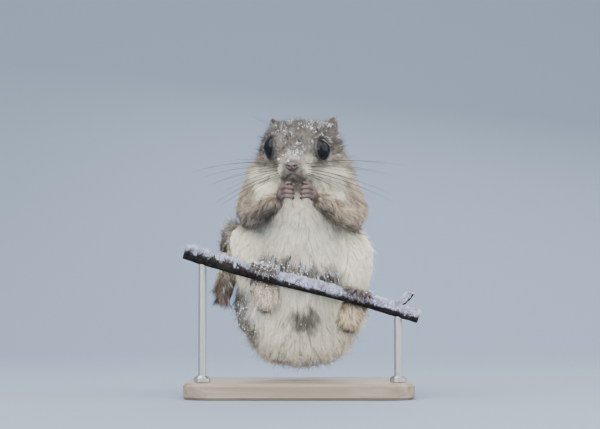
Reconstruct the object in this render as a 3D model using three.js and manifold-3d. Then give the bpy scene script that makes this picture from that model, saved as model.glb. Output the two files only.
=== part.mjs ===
// A Siberian flying squirrel in winter coat, life size, sitting up on a short cut branch with its hands
// at its mouth. A flat base and two short rods hold the branch. Millimetres, +Z up, face towards -Y.
import * as THREE from "three";
import { mergeVertices } from "three/addons/utils/BufferGeometryUtils.js";
import Module from "manifold-3d";

const wasm = await Module();
wasm.setup();

// Driving dimensions
const crownHeight = 72.5; // top of the head over the branch's axis
const rumpDepth = 36.5; // lowest fur under the branch's axis
const bodyHalfWidth = 28; // trunk alone, without membranes and tail
const bodyHalfDepth = 25; // trunk from belly to back
const bodyAxisY = 20; // upright axis of the trunk, behind the branch
const headHalfWidth = 17.5;
const noseReach = 24.8; // nose tip in front of the skull's middle
const eyeRadius = 5.8;
const branchRadius = 2.7;
const branchFall = 0.28; // the branch drops this much for each millimetre to +X
const branchAxisY = -6;
const branchEnds = [-50, 52];
const tailThickness = 6.4;
const tailHalfWidth = 12.6; // out to the tips of its locks
const standClearance = 6; // lowest fur over the base
const baseSize = new THREE.Vector3(100, 76, 7);
const baseAxisY = 14;
const gap = 0.3; // between two nodes that touch

const vec = (x, y, z) => new THREE.Vector3(x, y, z);
const mix = THREE.MathUtils.lerp;

// A seeded draw from 0 to 1, so that every build is alike.
function seeded(seed) {
  let state = seed;
  return () => {
    state = (state * 1664525 + 1013904223) >>> 0;
    return state / 4294967296;
  };
}

// Solids

// A geometry with shared vertices and no empty triangles.
function welded(geometry) {
  const bare = new THREE.BufferGeometry();
  bare.setAttribute("position", geometry.getAttribute("position").clone());
  if (geometry.index) bare.setIndex(geometry.index.clone());
  const merged = mergeVertices(bare, 1e-4);
  const kept = [];
  const corners = merged.index.array;
  for (let i = 0; i < corners.length; i += 3) {
    const [a, b, c] = corners.slice(i, i + 3);
    if (a !== b && b !== c && c !== a) kept.push(a, b, c);
  }
  merged.setIndex(kept);
  return merged;
}

function solidOf(geometry) {
  const closed = welded(geometry);
  return new wasm.Manifold(
    new wasm.Mesh({
      numProp: 3,
      vertProperties: closed.attributes.position.array,
      triVerts: new Uint32Array(closed.index.array),
    }),
  );
}

// The geometry with every vertex moved out along its normal.
function grown(geometry, distance) {
  const bigger = welded(geometry);
  bigger.computeVertexNormals();
  const { position, normal } = bigger.attributes;
  for (let i = 0; i < position.count; i++) {
    const p = vec().fromBufferAttribute(position, i);
    const n = vec().fromBufferAttribute(normal, i);
    p.addScaledVector(n, distance);
    position.setXYZ(i, p.x, p.y, p.z);
  }
  return bigger;
}

function joined(geometries) {
  return geometries.map(solidOf).reduce((whole, piece) => whole.add(piece));
}

function largest(solid) {
  return solid.decompose().reduce((a, b) => (a.volume() > b.volume() ? a : b));
}

// Forms

// How far p is outside an ellipsoid, below zero inside it.
function outside(p, { at, size }) {
  const d = p.clone().sub(at).divide(size);
  const near = d.length();
  const slope = d.clone().divide(size).length();
  return (near * (near - 1)) / Math.max(slope, 1e-9);
}

// Several ellipsoids run together like clay.
function clay(lumps, softness) {
  return (p) => {
    let whole = Infinity;
    for (const lump of lumps) {
      const d = outside(p, lump);
      const overlap = Math.max(softness - Math.abs(whole - d), 0) / softness;
      whole = Math.min(whole, d) - (overlap * overlap * softness) / 4;
    }
    return whole;
  };
}

// The last point of the clay on the way out from a middle.
function surfacePoint(field, middle, direction) {
  const out = direction.clone().normalize();
  const at = (r) => middle.clone().addScaledVector(out, r);
  let far = 90;
  while (far > 0 && field(at(far)) > 0) far -= 1.5;
  let near = Math.max(far, 0);
  far = near + 1.5;
  for (let i = 0; i < 18; i++) {
    const half = (near + far) / 2;
    if (field(at(half)) > 0) far = half;
    else near = half;
  }
  return at(near);
}

// A sphere whose vertices are pushed out to the clay's surface. Its poles lie along Y, or along Z if upright.
function wrapped(field, middle, columns, rows, upright = false) {
  const ball = new THREE.SphereGeometry(1, columns, rows);
  if (upright) ball.rotateX(Math.PI / 2);
  const { position } = ball.attributes;
  for (let i = 0; i < position.count; i++) {
    const p = surfacePoint(field, middle, vec().fromBufferAttribute(position, i));
    position.setXYZ(i, p.x, p.y, p.z);
  }
  return ball;
}

function egg(at, size, columns = 20, rows = 14) {
  const ball = new THREE.SphereGeometry(1, columns, rows);
  return ball.scale(size.x, size.y, size.z).translate(at.x, at.y, at.z);
}

// A turned profile bent along a curve. radius(t) is its half width and flat(t) its thickness as a share
// of its width, measured along facing(point).
function limb({ path, radius, flat = () => 1, facing, sides = 12, steps = 12, open = false }) {
  const curve = new THREE.CatmullRomCurve3(path);
  const spacing = (i) => (open ? i / steps : (1 - Math.cos((Math.PI * i) / steps)) / 2);
  const profile = [new THREE.Vector2(0, 0)];
  for (let i = open ? 0 : 1; i <= (open ? steps : steps - 1); i++) {
    profile.push(new THREE.Vector2(radius(spacing(i)), spacing(i)));
  }
  profile.push(new THREE.Vector2(0, 1));
  const turned = new THREE.LatheGeometry(profile, sides);
  const { position } = turned.attributes;
  for (let i = 0; i < position.count; i++) {
    const [x, t, z] = [position.getX(i), position.getY(i), position.getZ(i)];
    const centre = curve.getPointAt(THREE.MathUtils.clamp(t, 0, 1));
    const along = curve.getTangentAt(THREE.MathUtils.clamp(t, 0, 1));
    const thin = facing ? facing(centre) : vec(0.3, 0.2, 1);
    thin.addScaledVector(along, -thin.dot(along)).normalize();
    const wide = along.clone().cross(thin);
    centre.addScaledVector(wide, x).addScaledVector(thin, z * flat(t));
    position.setXYZ(i, centre.x, centre.y, centre.z);
  }
  return turned;
}

// A radius that goes from one value to another along a limb and closes in a round end at each end.
function rounded(start, end, startCap = 0.12, endCap = 0.12) {
  return (t) => {
    const near = Math.sqrt(Math.max(0, 1 - (1 - Math.min(t / startCap, 1)) ** 2));
    const far = Math.sqrt(Math.max(0, 1 - (1 - Math.min((1 - t) / endCap, 1)) ** 2));
    return mix(start, end, t) * near * far;
  };
}

// Branch and stand

const branchHeight = (x) => -branchFall * x + 0.7 * Math.sin(x / 17);
const branchPoint = (x) => vec(x, branchAxisY, branchHeight(x));

function branchForm() {
  const path = [];
  for (let x = branchEnds[0]; x <= branchEnds[1]; x += 8.5) path.push(branchPoint(x));
  const knots = [0.08, 0.86];
  const radius = (t) => {
    const swelling = knots.reduce((sum, at) => sum + 0.5 * Math.exp(-(((t - at) / 0.025) ** 2)), 0);
    return branchRadius * (1.04 - 0.08 * t) + swelling + 0.06 * Math.sin(t * 61);
  };
  return limb({ path, radius, sides: 10, steps: 18, open: true });
}

// The stub of a side twig, sawn off short.
function twigForm() {
  const root = branchPoint(41);
  const path = [root, root.clone().add(vec(4.5, 0, 3.4)), root.clone().add(vec(8.6, 0.3, 7.6))];
  return limb({ path, radius: (t) => mix(1.7, 1.25, t), sides: 8, steps: 4, open: true });
}

const floorLevel = -(rumpDepth + standClearance + baseSize.z);
const rodPlaces = { right: -42, left: 43 };
const rodRadius = 1.7;

function baseForm() {
  const corner = 14;
  const [w, d] = [baseSize.x / 2, baseSize.y / 2];
  const bevel = 1.2;
  const plan = new THREE.Shape();
  plan.absarc(w - corner, d - corner, corner - bevel, 0, Math.PI / 2);
  plan.absarc(-w + corner, d - corner, corner - bevel, Math.PI / 2, Math.PI);
  plan.absarc(-w + corner, -d + corner, corner - bevel, Math.PI, 1.5 * Math.PI);
  plan.absarc(w - corner, -d + corner, corner - bevel, 1.5 * Math.PI, 2 * Math.PI);
  plan.closePath();
  const slab = new THREE.ExtrudeGeometry(plan, {
    depth: baseSize.z - 2 * bevel,
    bevelSize: bevel,
    bevelThickness: bevel,
    bevelSegments: 1,
    curveSegments: 4,
  });
  return slab.translate(0, baseAxisY, floorLevel + bevel);
}

// A rod with a small collar at its foot. Its top is cut to the branch.
function rodForm(x) {
  const foot = floorLevel + baseSize.z + gap;
  const top = branchHeight(x) - branchRadius * 0.4;
  const profile = [
    [0, foot],
    [rodRadius * 2.1, foot],
    [rodRadius * 2.1, foot + 1.6],
    [rodRadius * 1.5, foot + 2.6],
    [rodRadius, foot + 2.6],
    [rodRadius, top],
    [0, top],
  ].map(([r, z]) => new THREE.Vector2(r, z));
  return new THREE.LatheGeometry(profile, 12).rotateX(Math.PI / 2).translate(x, branchAxisY, 0);
}

// Head, made round its own middle and then turned a little to its right

const headMiddle = vec(0.8, 0, crownHeight - 14.5);
const headTurn = THREE.MathUtils.degToRad(9);
const seat = (form) => form.rotateZ(-headTurn).translate(headMiddle.x, headMiddle.y, headMiddle.z);

const eyeTurn = THREE.MathUtils.degToRad(58); // from straight ahead, outwards
const eyeCentre = (side) => vec(side * 8.6, -10.9, 0.6 - side * 0.5);
const eyeLook = (side) => vec(side * Math.sin(eyeTurn), -Math.cos(eyeTurn), 0.06).normalize();

const headLumps = [
  { at: vec(0, 2, 0.5), size: vec(headHalfWidth, 15.5, 14.2) },
  { at: vec(0, -7, 3), size: vec(9.5, 10.5, 8.2) },
  { at: vec(0, -13.8, -6.6), size: vec(6.4, 9.9, 6) },
  { at: vec(0, -12.4, -12.8), size: vec(5, 7, 3.6) },
];
for (const side of [-1, 1]) {
  headLumps.push({ at: vec(side * 8.5, 3.5, 7.2), size: vec(6.6, 9, 6.6) });
  headLumps.push({ at: vec(side * 11.8, 0, -8.6), size: vec(9.4, 12, 9.6) });
  headLumps.push({ at: vec(side * 3.5, -18, -9.6), size: vec(4, 4.7, 3.8) });
  const orbit = eyeCentre(side).addScaledVector(eyeLook(side), -1.4);
  headLumps.push({ at: orbit, size: vec(6.2, 6.2, 6.4) });
}
const headField = clay(headLumps, 3.4);
const headCore = vec(0, -2, -2);
const headForm = () => wrapped(headField, headCore, 30, 24);

const eyeForm = (side) => egg(eyeCentre(side), vec(eyeRadius, eyeRadius, eyeRadius), 14, 11);

const noseForm = () => egg(vec(0, 1 - noseReach, -8), vec(2.8, 1.8, 2.1), 10, 8);

function nostrilForm(side) {
  const slot = new THREE.SphereGeometry(1, 6, 5).scale(0.75, 1, 0.42);
  return slot.rotateY(side * 0.5).translate(side * 1.4, -noseReach - 0.4, -8.2);
}

// The lids: a bowl of skin that holds the eye and leaves its front open. Its rim leans over the eye.
function lidForm(side) {
  const reach = eyeRadius + gap + 0.6;
  const rim = THREE.MathUtils.degToRad(59);
  const profile = [];
  for (let i = 0; i <= 7; i++) {
    const angle = mix(Math.PI, rim, i / 7);
    profile.push(new THREE.Vector2(reach * Math.sin(angle), reach * Math.cos(angle)));
  }
  profile[0].x = 0;
  profile.push(new THREE.Vector2(0, reach * Math.cos(rim)));
  const bowl = new THREE.LatheGeometry(profile, 18).rotateX(Math.PI / 2);
  const look = eyeLook(side).add(vec(0, 0, -0.05)).normalize();
  bowl.applyQuaternion(new THREE.Quaternion().setFromUnitVectors(vec(0, 0, 1), look));
  const at = eyeCentre(side);
  return bowl.translate(at.x, at.y, at.z);
}

// Grooves that follow the surface of the muzzle: the cleft under the nose and the line of the mouth.
function mouthForms() {
  const onSkin = ([x, y, z]) => surfacePoint(headField, headCore, vec(x, y, z).sub(headCore));
  const groove = (points, depth) =>
    limb({ path: points.map(onSkin), radius: () => depth, sides: 5, steps: 8, open: true });
  const mouthLine = [
    [-6.2, -14, -12.2],
    [-3.6, -18.6, -12.6],
    [-1.3, -21.6, -12],
    [0, -22.2, -11.7],
    [1.3, -21.6, -12],
    [3.6, -18.6, -12.6],
    [6.2, -14, -12.2],
  ];
  const cleft = [
    [0, -23.4, -9.4],
    [0, -23, -10.5],
    [0, -22.2, -11.7],
  ];
  return [groove(mouthLine, 0.5), groove(cleft, 0.32)];
}

const earFoot = vec(12.3, 6.2, 9.8);

// A thin cup, open outwards and forwards. Its foot is inside the head and is cut off there.
function earForms(side) {
  const { x, y, z } = earFoot;
  const lean = (form) => form.rotateZ(-side * 0.45).rotateY(side * 0.24).rotateX(-0.3);
  const place = (form) => lean(form).translate(side * x, y, z);
  const shell = place(egg(vec(0, 0, 0), vec(2.3, 4.9, 6.9), 14, 10));
  const hollow = place(egg(vec(side * 1.7, -0.6, 0.5), vec(2.5, 3.9, 5.7), 12, 9));
  return { shell, hollow };
}

// Trunk

const neckField = clay(
  [
    { at: vec(0.4, 10.5, 45.5), size: vec(19.6, 17.5, 14) },
    { at: vec(-12.6, -1.5, 40.5), size: vec(9.6, 12.5, 10) },
    { at: vec(13.4, -1.5, 40), size: vec(9.8, 12.5, 10) },
    { at: vec(-16.6, 3, 45), size: vec(7.4, 11, 8) },
    { at: vec(17.8, 3, 44.5), size: vec(7.6, 11, 8) },
  ],
  7,
);
const neckForm = () => wrapped(neckField, vec(0.4, 6, 43), 20, 13);

const trunkField = clay(
  [
    { at: vec(0, 5, 28), size: vec(21, 15.5, 17) },
    { at: vec(1, bodyAxisY - 1, 8), size: vec(bodyHalfWidth, bodyHalfDepth, 24) },
    { at: vec(0, bodyAxisY - 2, 31), size: vec(23, 19.5, 20) },
    { at: vec(1, bodyAxisY + 2, -16.5), size: vec(25.5, 20, rumpDepth - 16.5) },
  ],
  9,
);
const trunkForm = () => wrapped(trunkField, vec(1, bodyAxisY, 4), 24, 18, true);

// Loose skin of the flank, folded along the side from elbow to ankle.
const membranes = {
  right: {
    path: [vec(-23, 5, 29), vec(-25.4, 5, 20), vec(-25, 4, 9), vec(-21, 2, -4)],
    width: 9.6,
    face: vec(-0.55, -0.84, 0),
  },
  left: {
    path: [vec(24, 5, 26), vec(26.6, 4, 15), vec(25.8, 3, 5), vec(21.5, 2, -5)],
    width: 10.6,
    face: vec(0.72, -0.7, 0),
  },
};

function membraneForm(name) {
  const { path, width, face } = membranes[name];
  const radius = (t) => width * rounded(0.9, 0.9, 0.32, 0.3)(t);
  return limb({ path, radius, flat: () => 0.36, facing: () => face.clone(), sides: 10, steps: 8 });
}

// Legs

// Places along the branch: the heels hang closer together than the toes.
const footPlaces = { right: { toes: -15.6, heel: -13.8 }, left: { toes: 25.6, heel: 20.8 } };

function legForms(side, x) {
  const thigh = egg(vec(side * 18.6 + 1, bodyAxisY - 1, -8.5), vec(11.2, 17, 15.5), 14, 9);
  const knee = side * 23;
  const shin = limb({
    path: [vec(knee + 1, 6, -1), vec(mix(knee, x, 0.6), 4, -8), vec(x, 2.6, branchHeight(x) - 12.5)],
    radius: rounded(6, 3.4, 0.3, 0.3),
    sides: 8,
    steps: 6,
  });
  return [thigh, shin];
}

// Toes wrap over the top of the branch from behind. spread is the toe's place across the foot.
const toeReach = branchRadius + gap + 0.95;

function toePath(x, spread, from, to, count) {
  const path = [];
  for (let i = 0; i <= count; i++) {
    const angle = THREE.MathUtils.degToRad(mix(from, to, i / count));
    const fan = spread * (1 + 0.28 * (i / count));
    const axis = branchPoint(x + fan);
    path.push(axis.add(vec(0, Math.cos(angle) * toeReach, Math.sin(angle) * toeReach)));
  }
  return path;
}

const toeSpreads = [-3.9, -2, 0, 2, 3.9];
const toeEnds = [138, 156, 162, 158, 140];

function footForms({ toes: x, heel }) {
  const z = branchHeight(x);
  const low = branchHeight(heel);
  const sole = limb({
    path: [
      vec(heel, -1.9, low - 14.2),
      vec(mix(heel, x, 0.3), -1.2, low - 8),
      vec(x, 0.8, z - 1),
      vec(x, 0.6, z + 2),
    ],
    radius: rounded(4.5, 5.2, 0.2, 0.14),
    flat: () => 0.5,
    facing: () => vec(0, 1, 0),
    sides: 10,
    steps: 7,
  });
  const toeForms = toeSpreads.map((spread, i) => {
    const path = [vec(x + spread * 0.8, -1, branchHeight(x) - 0.4), ...toePath(x, spread, 32, toeEnds[i], 5)];
    return limb({ path, radius: rounded(1.15, 0.85, 0.1, 0.12), sides: 5, steps: 6 });
  });
  return [sole, ...toeForms];
}

function toeClawForm(x, i) {
  const path = toePath(x, toeSpreads[i], toeEnds[i] + 3, toeEnds[i] + 42, 3);
  const radius = (t) => 0.5 * (1 - t) ** 0.7 + 0.08;
  return limb({ path, radius, flat: () => 0.7, facing: () => vec(1, 0, 0), sides: 4, steps: 3, open: true });
}

// Arms

const elbow = { right: vec(-23.4, -3, 27.2), left: vec(26, -3, 26.6) };
const wrist = (side) => vec(side * 7.8 - 0.6, -20.6, 35.8);

function upperArmForm(side, name) {
  return limb({
    path: [vec(side * 16, 4, 44.5), vec(side * 21.2 + 0.8, 1.5, 37), elbow[name].clone().add(vec(0, 1.5, 0))],
    radius: rounded(8.2, 6.7, 0.3, 0.3),
    sides: 12,
    steps: 8,
  });
}

function forearmForm(side, name) {
  const start = elbow[name];
  const end = wrist(side);
  return limb({
    path: [start, start.clone().lerp(end, 0.5).add(vec(0, -1, -0.6)), end.clone().add(vec(0, -1.6, 1.1))],
    radius: rounded(6.6, 3.6, 0.3, 0.12),
    sides: 12,
    steps: 8,
  });
}

// Four fingers curl inwards, one over another, and the two hands nearly meet.
const handsMeetX = -0.8;
const atHand = (side, out, y, z) => vec(side * out + handsMeetX, y, z);
const fingerHeights = [42.3, 40.3, 38.3, 36.4];
const fingerTip = (side, z) => atHand(side, 1.1, -28.6, z - 0.4);

function handForms(side) {
  const palm = limb({
    path: [
      wrist(side).add(vec(-side * 0.4, -1.6, 0.8)),
      atHand(side, 6.6, -24.8, 38.4),
      atHand(side, 5.6, -27, 39.8),
    ],
    radius: rounded(3, 3.7, 0.2, 0.3),
    flat: () => 0.62,
    facing: () => vec(side, 0.35, 0),
    sides: 10,
    steps: 6,
  });
  const fingers = fingerHeights.map((z) =>
    limb({
      path: [
        atHand(side, 6.4, -26.2, z - 1),
        atHand(side, 5.4, -29.8, z + 0.3),
        atHand(side, 2.9, -30.8, z),
        fingerTip(side, z),
      ],
      radius: rounded(1.05, 0.82, 0.12, 0.14),
      sides: 6,
      steps: 6,
    }),
  );
  const thumb = limb({
    path: [atHand(side, 6, -24.4, 40.6), atHand(side, 4.4, -25, 42.4), atHand(side, 2.6, -25.8, 42.8)],
    radius: rounded(1, 0.75, 0.2, 0.2),
    sides: 6,
    steps: 5,
  });
  return [palm, ...fingers, thumb];
}

function fingerClawForm(side, z) {
  const root = fingerTip(side, z).add(vec(side * 0.15, gap, -0.05));
  const bend = root.clone().add(vec(side * 0.5, 0.9, -0.35));
  const point = root.clone().add(vec(side * 1.2, 1.5, -0.9));
  const radius = (t) => 0.45 * (1 - t) ** 0.7 + 0.02;
  return limb({ path: [root, bend, point], radius, flat: () => 0.7, sides: 4, steps: 3, open: true });
}

// Tail: a flat core with overlapping locks along both edges and round the tip. It leaves the rump, lies
// over the lower back and comes round the right flank, and its tip hangs beside the branch.

const tailPath = [
  vec(0, 31, -22),
  vec(-1, 40, -17.5),
  vec(-7, 46.2, -4),
  vec(-17, 44.4, 10),
  vec(-27.5, 36, 18.5),
  vec(-33.6, 25, 18),
  vec(-34.2, 16, 9.5),
  vec(-33.2, 11, 0),
  vec(-32, 9, -7),
];
const tailCurve = new THREE.CatmullRomCurve3(tailPath);
const tailSplits = [0.4, 0.72];
const locksFrom = 0.17;
const locksPerEdge = 15;
const tailFacing = (p) => vec(p.x - 1, p.y - bodyAxisY, 0.25 * p.z).normalize();

// Half widths at a share t of the length, with the locks and without them.
function tailSpread(t) {
  const { smoothstep } = THREE.MathUtils;
  return tailHalfWidth * (0.55 + 0.45 * smoothstep(t, 0, 0.25) - 0.35 * smoothstep(t, 0.82, 1));
}
const coreSpread = (t) => 0.48 * tailSpread(t);

// The tail's own directions at a share t of its length.
function tailFrame(t) {
  const at = tailCurve.getPointAt(t);
  const along = tailCurve.getTangentAt(t);
  const thin = tailFacing(at);
  thin.addScaledVector(along, -thin.dot(along)).normalize();
  return { at, along, thin, wide: along.clone().cross(thin) };
}

const tailCore = limb({
  path: tailPath,
  radius: (t) => coreSpread(t) * Math.sqrt(Math.min(1, (1 - t) / 0.1)),
  flat: (t) => tailThickness / 2 / coreSpread(t),
  facing: tailFacing,
  sides: 8,
  steps: 22,
});

// A flat lock that tapers and bends towards the tail's tip. edge and reach say how far out and how far
// along its tip comes, in millimetres from the root on the tail's middle line.
function lockForm(t, edge, reach, width, lift) {
  const { at, along, thin, wide } = tailFrame(t);
  const point = (out, forward, up) => {
    const middle = at.clone().addScaledVector(wide, edge * out);
    return middle.addScaledVector(along, reach * forward).addScaledVector(thin, lift * up);
  };
  return limb({
    path: [point(0.22, 0, 0.4), point(0.55, 0.26, 1), point(0.85, 0.62, 1), point(1, 1, 0.6)],
    radius: (s) => width * (s < 0.45 ? mix(0.8, 1, s / 0.45) : ((1 - s) / 0.55) ** 0.75) + 0.05,
    flat: () => 0.32,
    facing: () => thin.clone(),
    sides: 4,
    steps: 4,
    open: true,
  });
}

function tailLocks() {
  const draw = seeded(7);
  const made = [];
  for (let i = 0; i < locksPerEdge; i++) {
    for (const edge of [-1, 1]) {
      const t = mix(locksFrom, 0.9, (i + 0.25 + 0.25 * edge) / locksPerEdge);
      const out = edge * tailSpread(Math.min(t + 0.1, 1)) * mix(0.94, 1.02, draw());
      const lift = i % 2 ? 0.7 : -0.7;
      made.push({ t, form: lockForm(t, out, mix(12, 14.5, draw()), mix(3.1, 3.7, draw()), lift) });
    }
  }
  for (const turn of [-0.8, -0.4, 0, 0.4, 0.8]) {
    const reach = mix(10.5, 12, draw()) * (1 - 0.25 * Math.abs(turn));
    made.push({ t: 0.93, form: lockForm(0.93, turn * 7, reach, 2.6, turn * 0.8) });
  }
  return made;
}
const locks = tailLocks();

// The room of the whole tail with its locks: the body gives way to it.
const tailRoom = limb({
  path: [...tailPath.slice(2), tailPath.at(-1).clone().addScaledVector(tailCurve.getTangentAt(1), 6)],
  radius: () => tailHalfWidth + 1,
  flat: () => 0.32,
  facing: tailFacing,
  sides: 10,
  steps: 12,
  open: true,
});

// One length of the tail, parted from its neighbours by a thin cut square to the tail.
function tailLength(from, to) {
  const own = locks.filter(({ t }) => t > from - 0.16 && t < to);
  let solid = joined([tailCore, ...own.map(({ form }) => form)]);
  for (const [t, towards] of [
    [from, 1],
    [to, -1],
  ]) {
    if (t === 0 || t === 1) continue;
    const { at, along } = tailFrame(t);
    const normal = along.multiplyScalar(towards);
    solid = solid.trimByPlane(normal.toArray(), normal.dot(at) + gap / 2);
  }
  return solid;
}

// Nodes, in the order in which each gives way to those before it

const paint = {
  coat: { color: 0x8f8479, roughness: 0.95 },
  pale: { color: 0xd9d6cb, roughness: 0.95 },
  skin: { color: 0xa98a84, roughness: 0.6 },
  nose: { color: 0x6e5750, roughness: 0.45 },
  eye: { color: 0x0b0c0f, roughness: 0.05 },
  claw: { color: 0x4a3d36, roughness: 0.4 },
  bark: { color: 0x2f2b29, roughness: 0.9 },
  steel: { color: 0x9fa3a8, roughness: 0.35, metalness: 1 },
  wood: { color: 0x6b4a33, roughness: 0.6 },
};
for (const name of Object.keys(paint)) paint[name] = new THREE.MeshStandardMaterial(paint[name]);

const squirrel = new THREE.Group();
squirrel.position.set(0, -baseAxisY, -floorLevel);
let taken = null;

function takeRoom(forms) {
  const wider = joined(forms.map((form) => grown(form, gap)));
  taken = taken ? taken.add(wider) : wider;
}

// Adds a node, cut clear of all that is taken, and takes its own room with the gap round it.
function addNode(name, material, forms, { minus = [], room = forms } = {}) {
  let solid = Array.isArray(forms) ? joined(forms) : forms;
  for (const form of minus) solid = solid.subtract(solidOf(form));
  if (taken) solid = solid.subtract(taken);
  solid = largest(solid);
  const { vertProperties, triVerts } = solid.getMesh();
  const geometry = new THREE.BufferGeometry();
  geometry.setAttribute("position", new THREE.BufferAttribute(vertProperties, 3));
  geometry.setIndex(new THREE.BufferAttribute(triVerts, 1));
  geometry.computeVertexNormals();
  const mesh = new THREE.Mesh(geometry, material);
  mesh.name = name;
  squirrel.add(mesh);
  if (room) takeRoom(room);
}

const sides = [
  ["right", -1],
  ["left", 1],
];

addNode("perch_branch", paint.bark, [branchForm()]);
addNode("perch_twig", paint.bark, [twigForm()]);
for (const [name] of sides) addNode(`stand_rod_${name}`, paint.steel, [rodForm(rodPlaces[name])]);
addNode("stand_base", paint.wood, [baseForm()], { room: null });

for (const [name, side] of sides) addNode(`eye_${name}`, paint.eye, [seat(eyeForm(side))]);
addNode("nose", paint.nose, [seat(noseForm())], { minus: sides.map(([, side]) => seat(nostrilForm(side))) });

for (const [name, side] of sides) {
  addNode(`hand_${name}`, paint.skin, handForms(side));
  fingerHeights.forEach((z, i) => {
    addNode(`claw_hand_${name}_${i + 1}`, paint.claw, [fingerClawForm(side, z)]);
  });
  addNode(`foot_${name}`, paint.skin, footForms(footPlaces[name]));
  toeSpreads.forEach((_, i) => {
    addNode(`claw_foot_${name}_${i + 1}`, paint.claw, [toeClawForm(footPlaces[name].toes, i)]);
  });
}

for (const [name, side] of sides) {
  addNode(`forearm_${name}`, paint.coat, [forearmForm(side, name)]);
  addNode(`upper_arm_${name}`, paint.coat, [upperArmForm(side, name)]);
}

const lengths = [0, ...tailSplits, 1];
["tail_base", "tail_middle", "tail_tip"].forEach((name, i) => {
  addNode(name, paint.coat, tailLength(lengths[i], lengths[i + 1]), { room: null });
});
takeRoom([tailCore, tailRoom]);

for (const [name, side] of sides) {
  addNode(`membrane_${name}`, paint.pale, [membraneForm(name)]);
  addNode(`leg_${name}`, paint.coat, legForms(side, footPlaces[name].heel));
}
addNode("torso", paint.pale, [trunkForm()]);
addNode("neck", paint.coat, [neckForm()]);
const headForms = [headForm(), lidForm(-1), lidForm(1)];
addNode("head", paint.coat, headForms.map(seat), { minus: mouthForms().map(seat) });
for (const [name, side] of sides) {
  const { shell, hollow } = earForms(side);
  addNode(`ear_${name}`, paint.coat, [seat(shell)], { minus: [seat(hollow)] });
}

export default squirrel;
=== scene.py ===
import math

import bpy
import numpy as np
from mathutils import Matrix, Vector
from mathutils.bvhtree import BVHTree
from mathutils.kdtree import KDTree


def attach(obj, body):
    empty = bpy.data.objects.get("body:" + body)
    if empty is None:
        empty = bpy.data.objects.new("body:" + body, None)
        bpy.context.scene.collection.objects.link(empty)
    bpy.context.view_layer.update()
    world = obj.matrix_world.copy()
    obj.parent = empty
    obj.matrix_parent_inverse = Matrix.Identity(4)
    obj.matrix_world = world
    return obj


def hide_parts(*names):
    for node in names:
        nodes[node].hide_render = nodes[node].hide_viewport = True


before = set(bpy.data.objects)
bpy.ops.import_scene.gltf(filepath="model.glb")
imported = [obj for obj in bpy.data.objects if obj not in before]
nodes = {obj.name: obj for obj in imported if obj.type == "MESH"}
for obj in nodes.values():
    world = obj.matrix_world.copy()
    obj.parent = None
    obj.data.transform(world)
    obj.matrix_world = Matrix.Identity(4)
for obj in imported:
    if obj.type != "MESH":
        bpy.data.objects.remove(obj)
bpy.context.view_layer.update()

# Sizes below are millimetres from the middle of the branch above the stand, face towards -Y.
zeroPoint = np.array((0.0, -14.0, 49.5))


def toMetres(points):
    return (points + zeroPoint) / 1000


def toMillimetres(points):
    return points * 1000 - zeroPoint


def smooth(value, low, high):
    t = np.clip((value - low) / (high - low), 0, 1)
    return t * t * (3 - 2 * t)


def fade(value, low, high):
    return 1 - smooth(value, low, high)


# From start to 1 as the value goes from low to high.
def rise(value, low, high, start):
    return start + (1 - start) * smooth(value, low, high)


def distance(vectors):
    return np.linalg.norm(vectors, axis=-1)


def unit(vectors):
    return vectors / np.maximum(np.linalg.norm(vectors, axis=-1, keepdims=True), 1e-9)


# What is left of vectors without their part along a direction.
def beside(vectors, direction):
    return vectors - direction * np.sum(vectors * direction, axis=-1, keepdims=True)


def columns(*values):
    return np.stack(np.broadcast_arrays(*values), axis=-1)


def deselectAll():
    if bpy.context.object and bpy.context.object.mode != "OBJECT":
        bpy.ops.object.mode_set(mode="OBJECT")
    bpy.ops.object.select_all(action="DESELECT")


def makeActive(piece):
    deselectAll()
    piece.select_set(True)
    bpy.context.view_layer.objects.active = piece


def applyModifier(piece, kind, **settings):
    makeActive(piece)
    modifier = piece.modifiers.new(kind.title(), kind)
    for name, value in settings.items():
        setattr(modifier, name, value)
    bpy.ops.object.modifier_apply(modifier=modifier.name)


# One step of mesh editing on the whole of a piece.
def editAll(piece, step, **settings):
    makeActive(piece)
    bpy.ops.object.mode_set(mode="EDIT")
    bpy.ops.mesh.select_all(action="SELECT")
    step(**settings)
    bpy.ops.object.mode_set(mode="OBJECT")


def faceOutward(piece):
    editAll(piece, bpy.ops.mesh.normals_make_consistent, inside=False)


# Runs everything in a piece together under one even net of small cells.
def remesh(piece, cell):
    applyModifier(piece, "REMESH", mode="VOXEL", voxel_size=cell, adaptivity=0.0)


def smoothOut(piece, times):
    applyModifier(piece, "SMOOTH", factor=0.5, iterations=times)


def addPiece(name, mesh):
    piece = bpy.data.objects.new(name, mesh)
    bpy.context.scene.collection.objects.link(piece)
    return piece


def joinPieces(pieces):
    makeActive(pieces[0])
    for piece in pieces[1:]:
        piece.select_set(True)
    if len(pieces) > 1:
        bpy.ops.object.join()
    return bpy.context.object


# Copies of these CAD nodes joined into one new piece.
def cast(names, pieceName):
    piece = joinPieces([addPiece(pieceName, nodes[name].data.copy()) for name in names])
    piece.data.materials.clear()
    editAll(piece, bpy.ops.mesh.remove_doubles, threshold=1e-6)
    return piece


def makeBall(segments, rings, name):
    deselectAll()
    bpy.ops.mesh.primitive_uv_sphere_add(segments=segments, ring_count=rings, radius=1)
    ball = bpy.context.object
    ball.name = name
    return ball, readPoints(ball.data)


# One value of each point, edge or loop of a mesh, in rows as wide as the value.
def readRows(items, name, width, kind=np.float32):
    values = np.empty(len(items) * width, kind)
    items.foreach_get(name, values)
    return values.reshape(-1, width)


def readPoints(mesh):
    return readRows(mesh.vertices, "co", 3).astype(float)


def readNormals(mesh):
    return readRows(mesh.vertices, "normal", 3).astype(float)


def writePoints(mesh, points):
    mesh.vertices.foreach_set("co", points.astype(np.float32).ravel())
    mesh.update()


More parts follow.
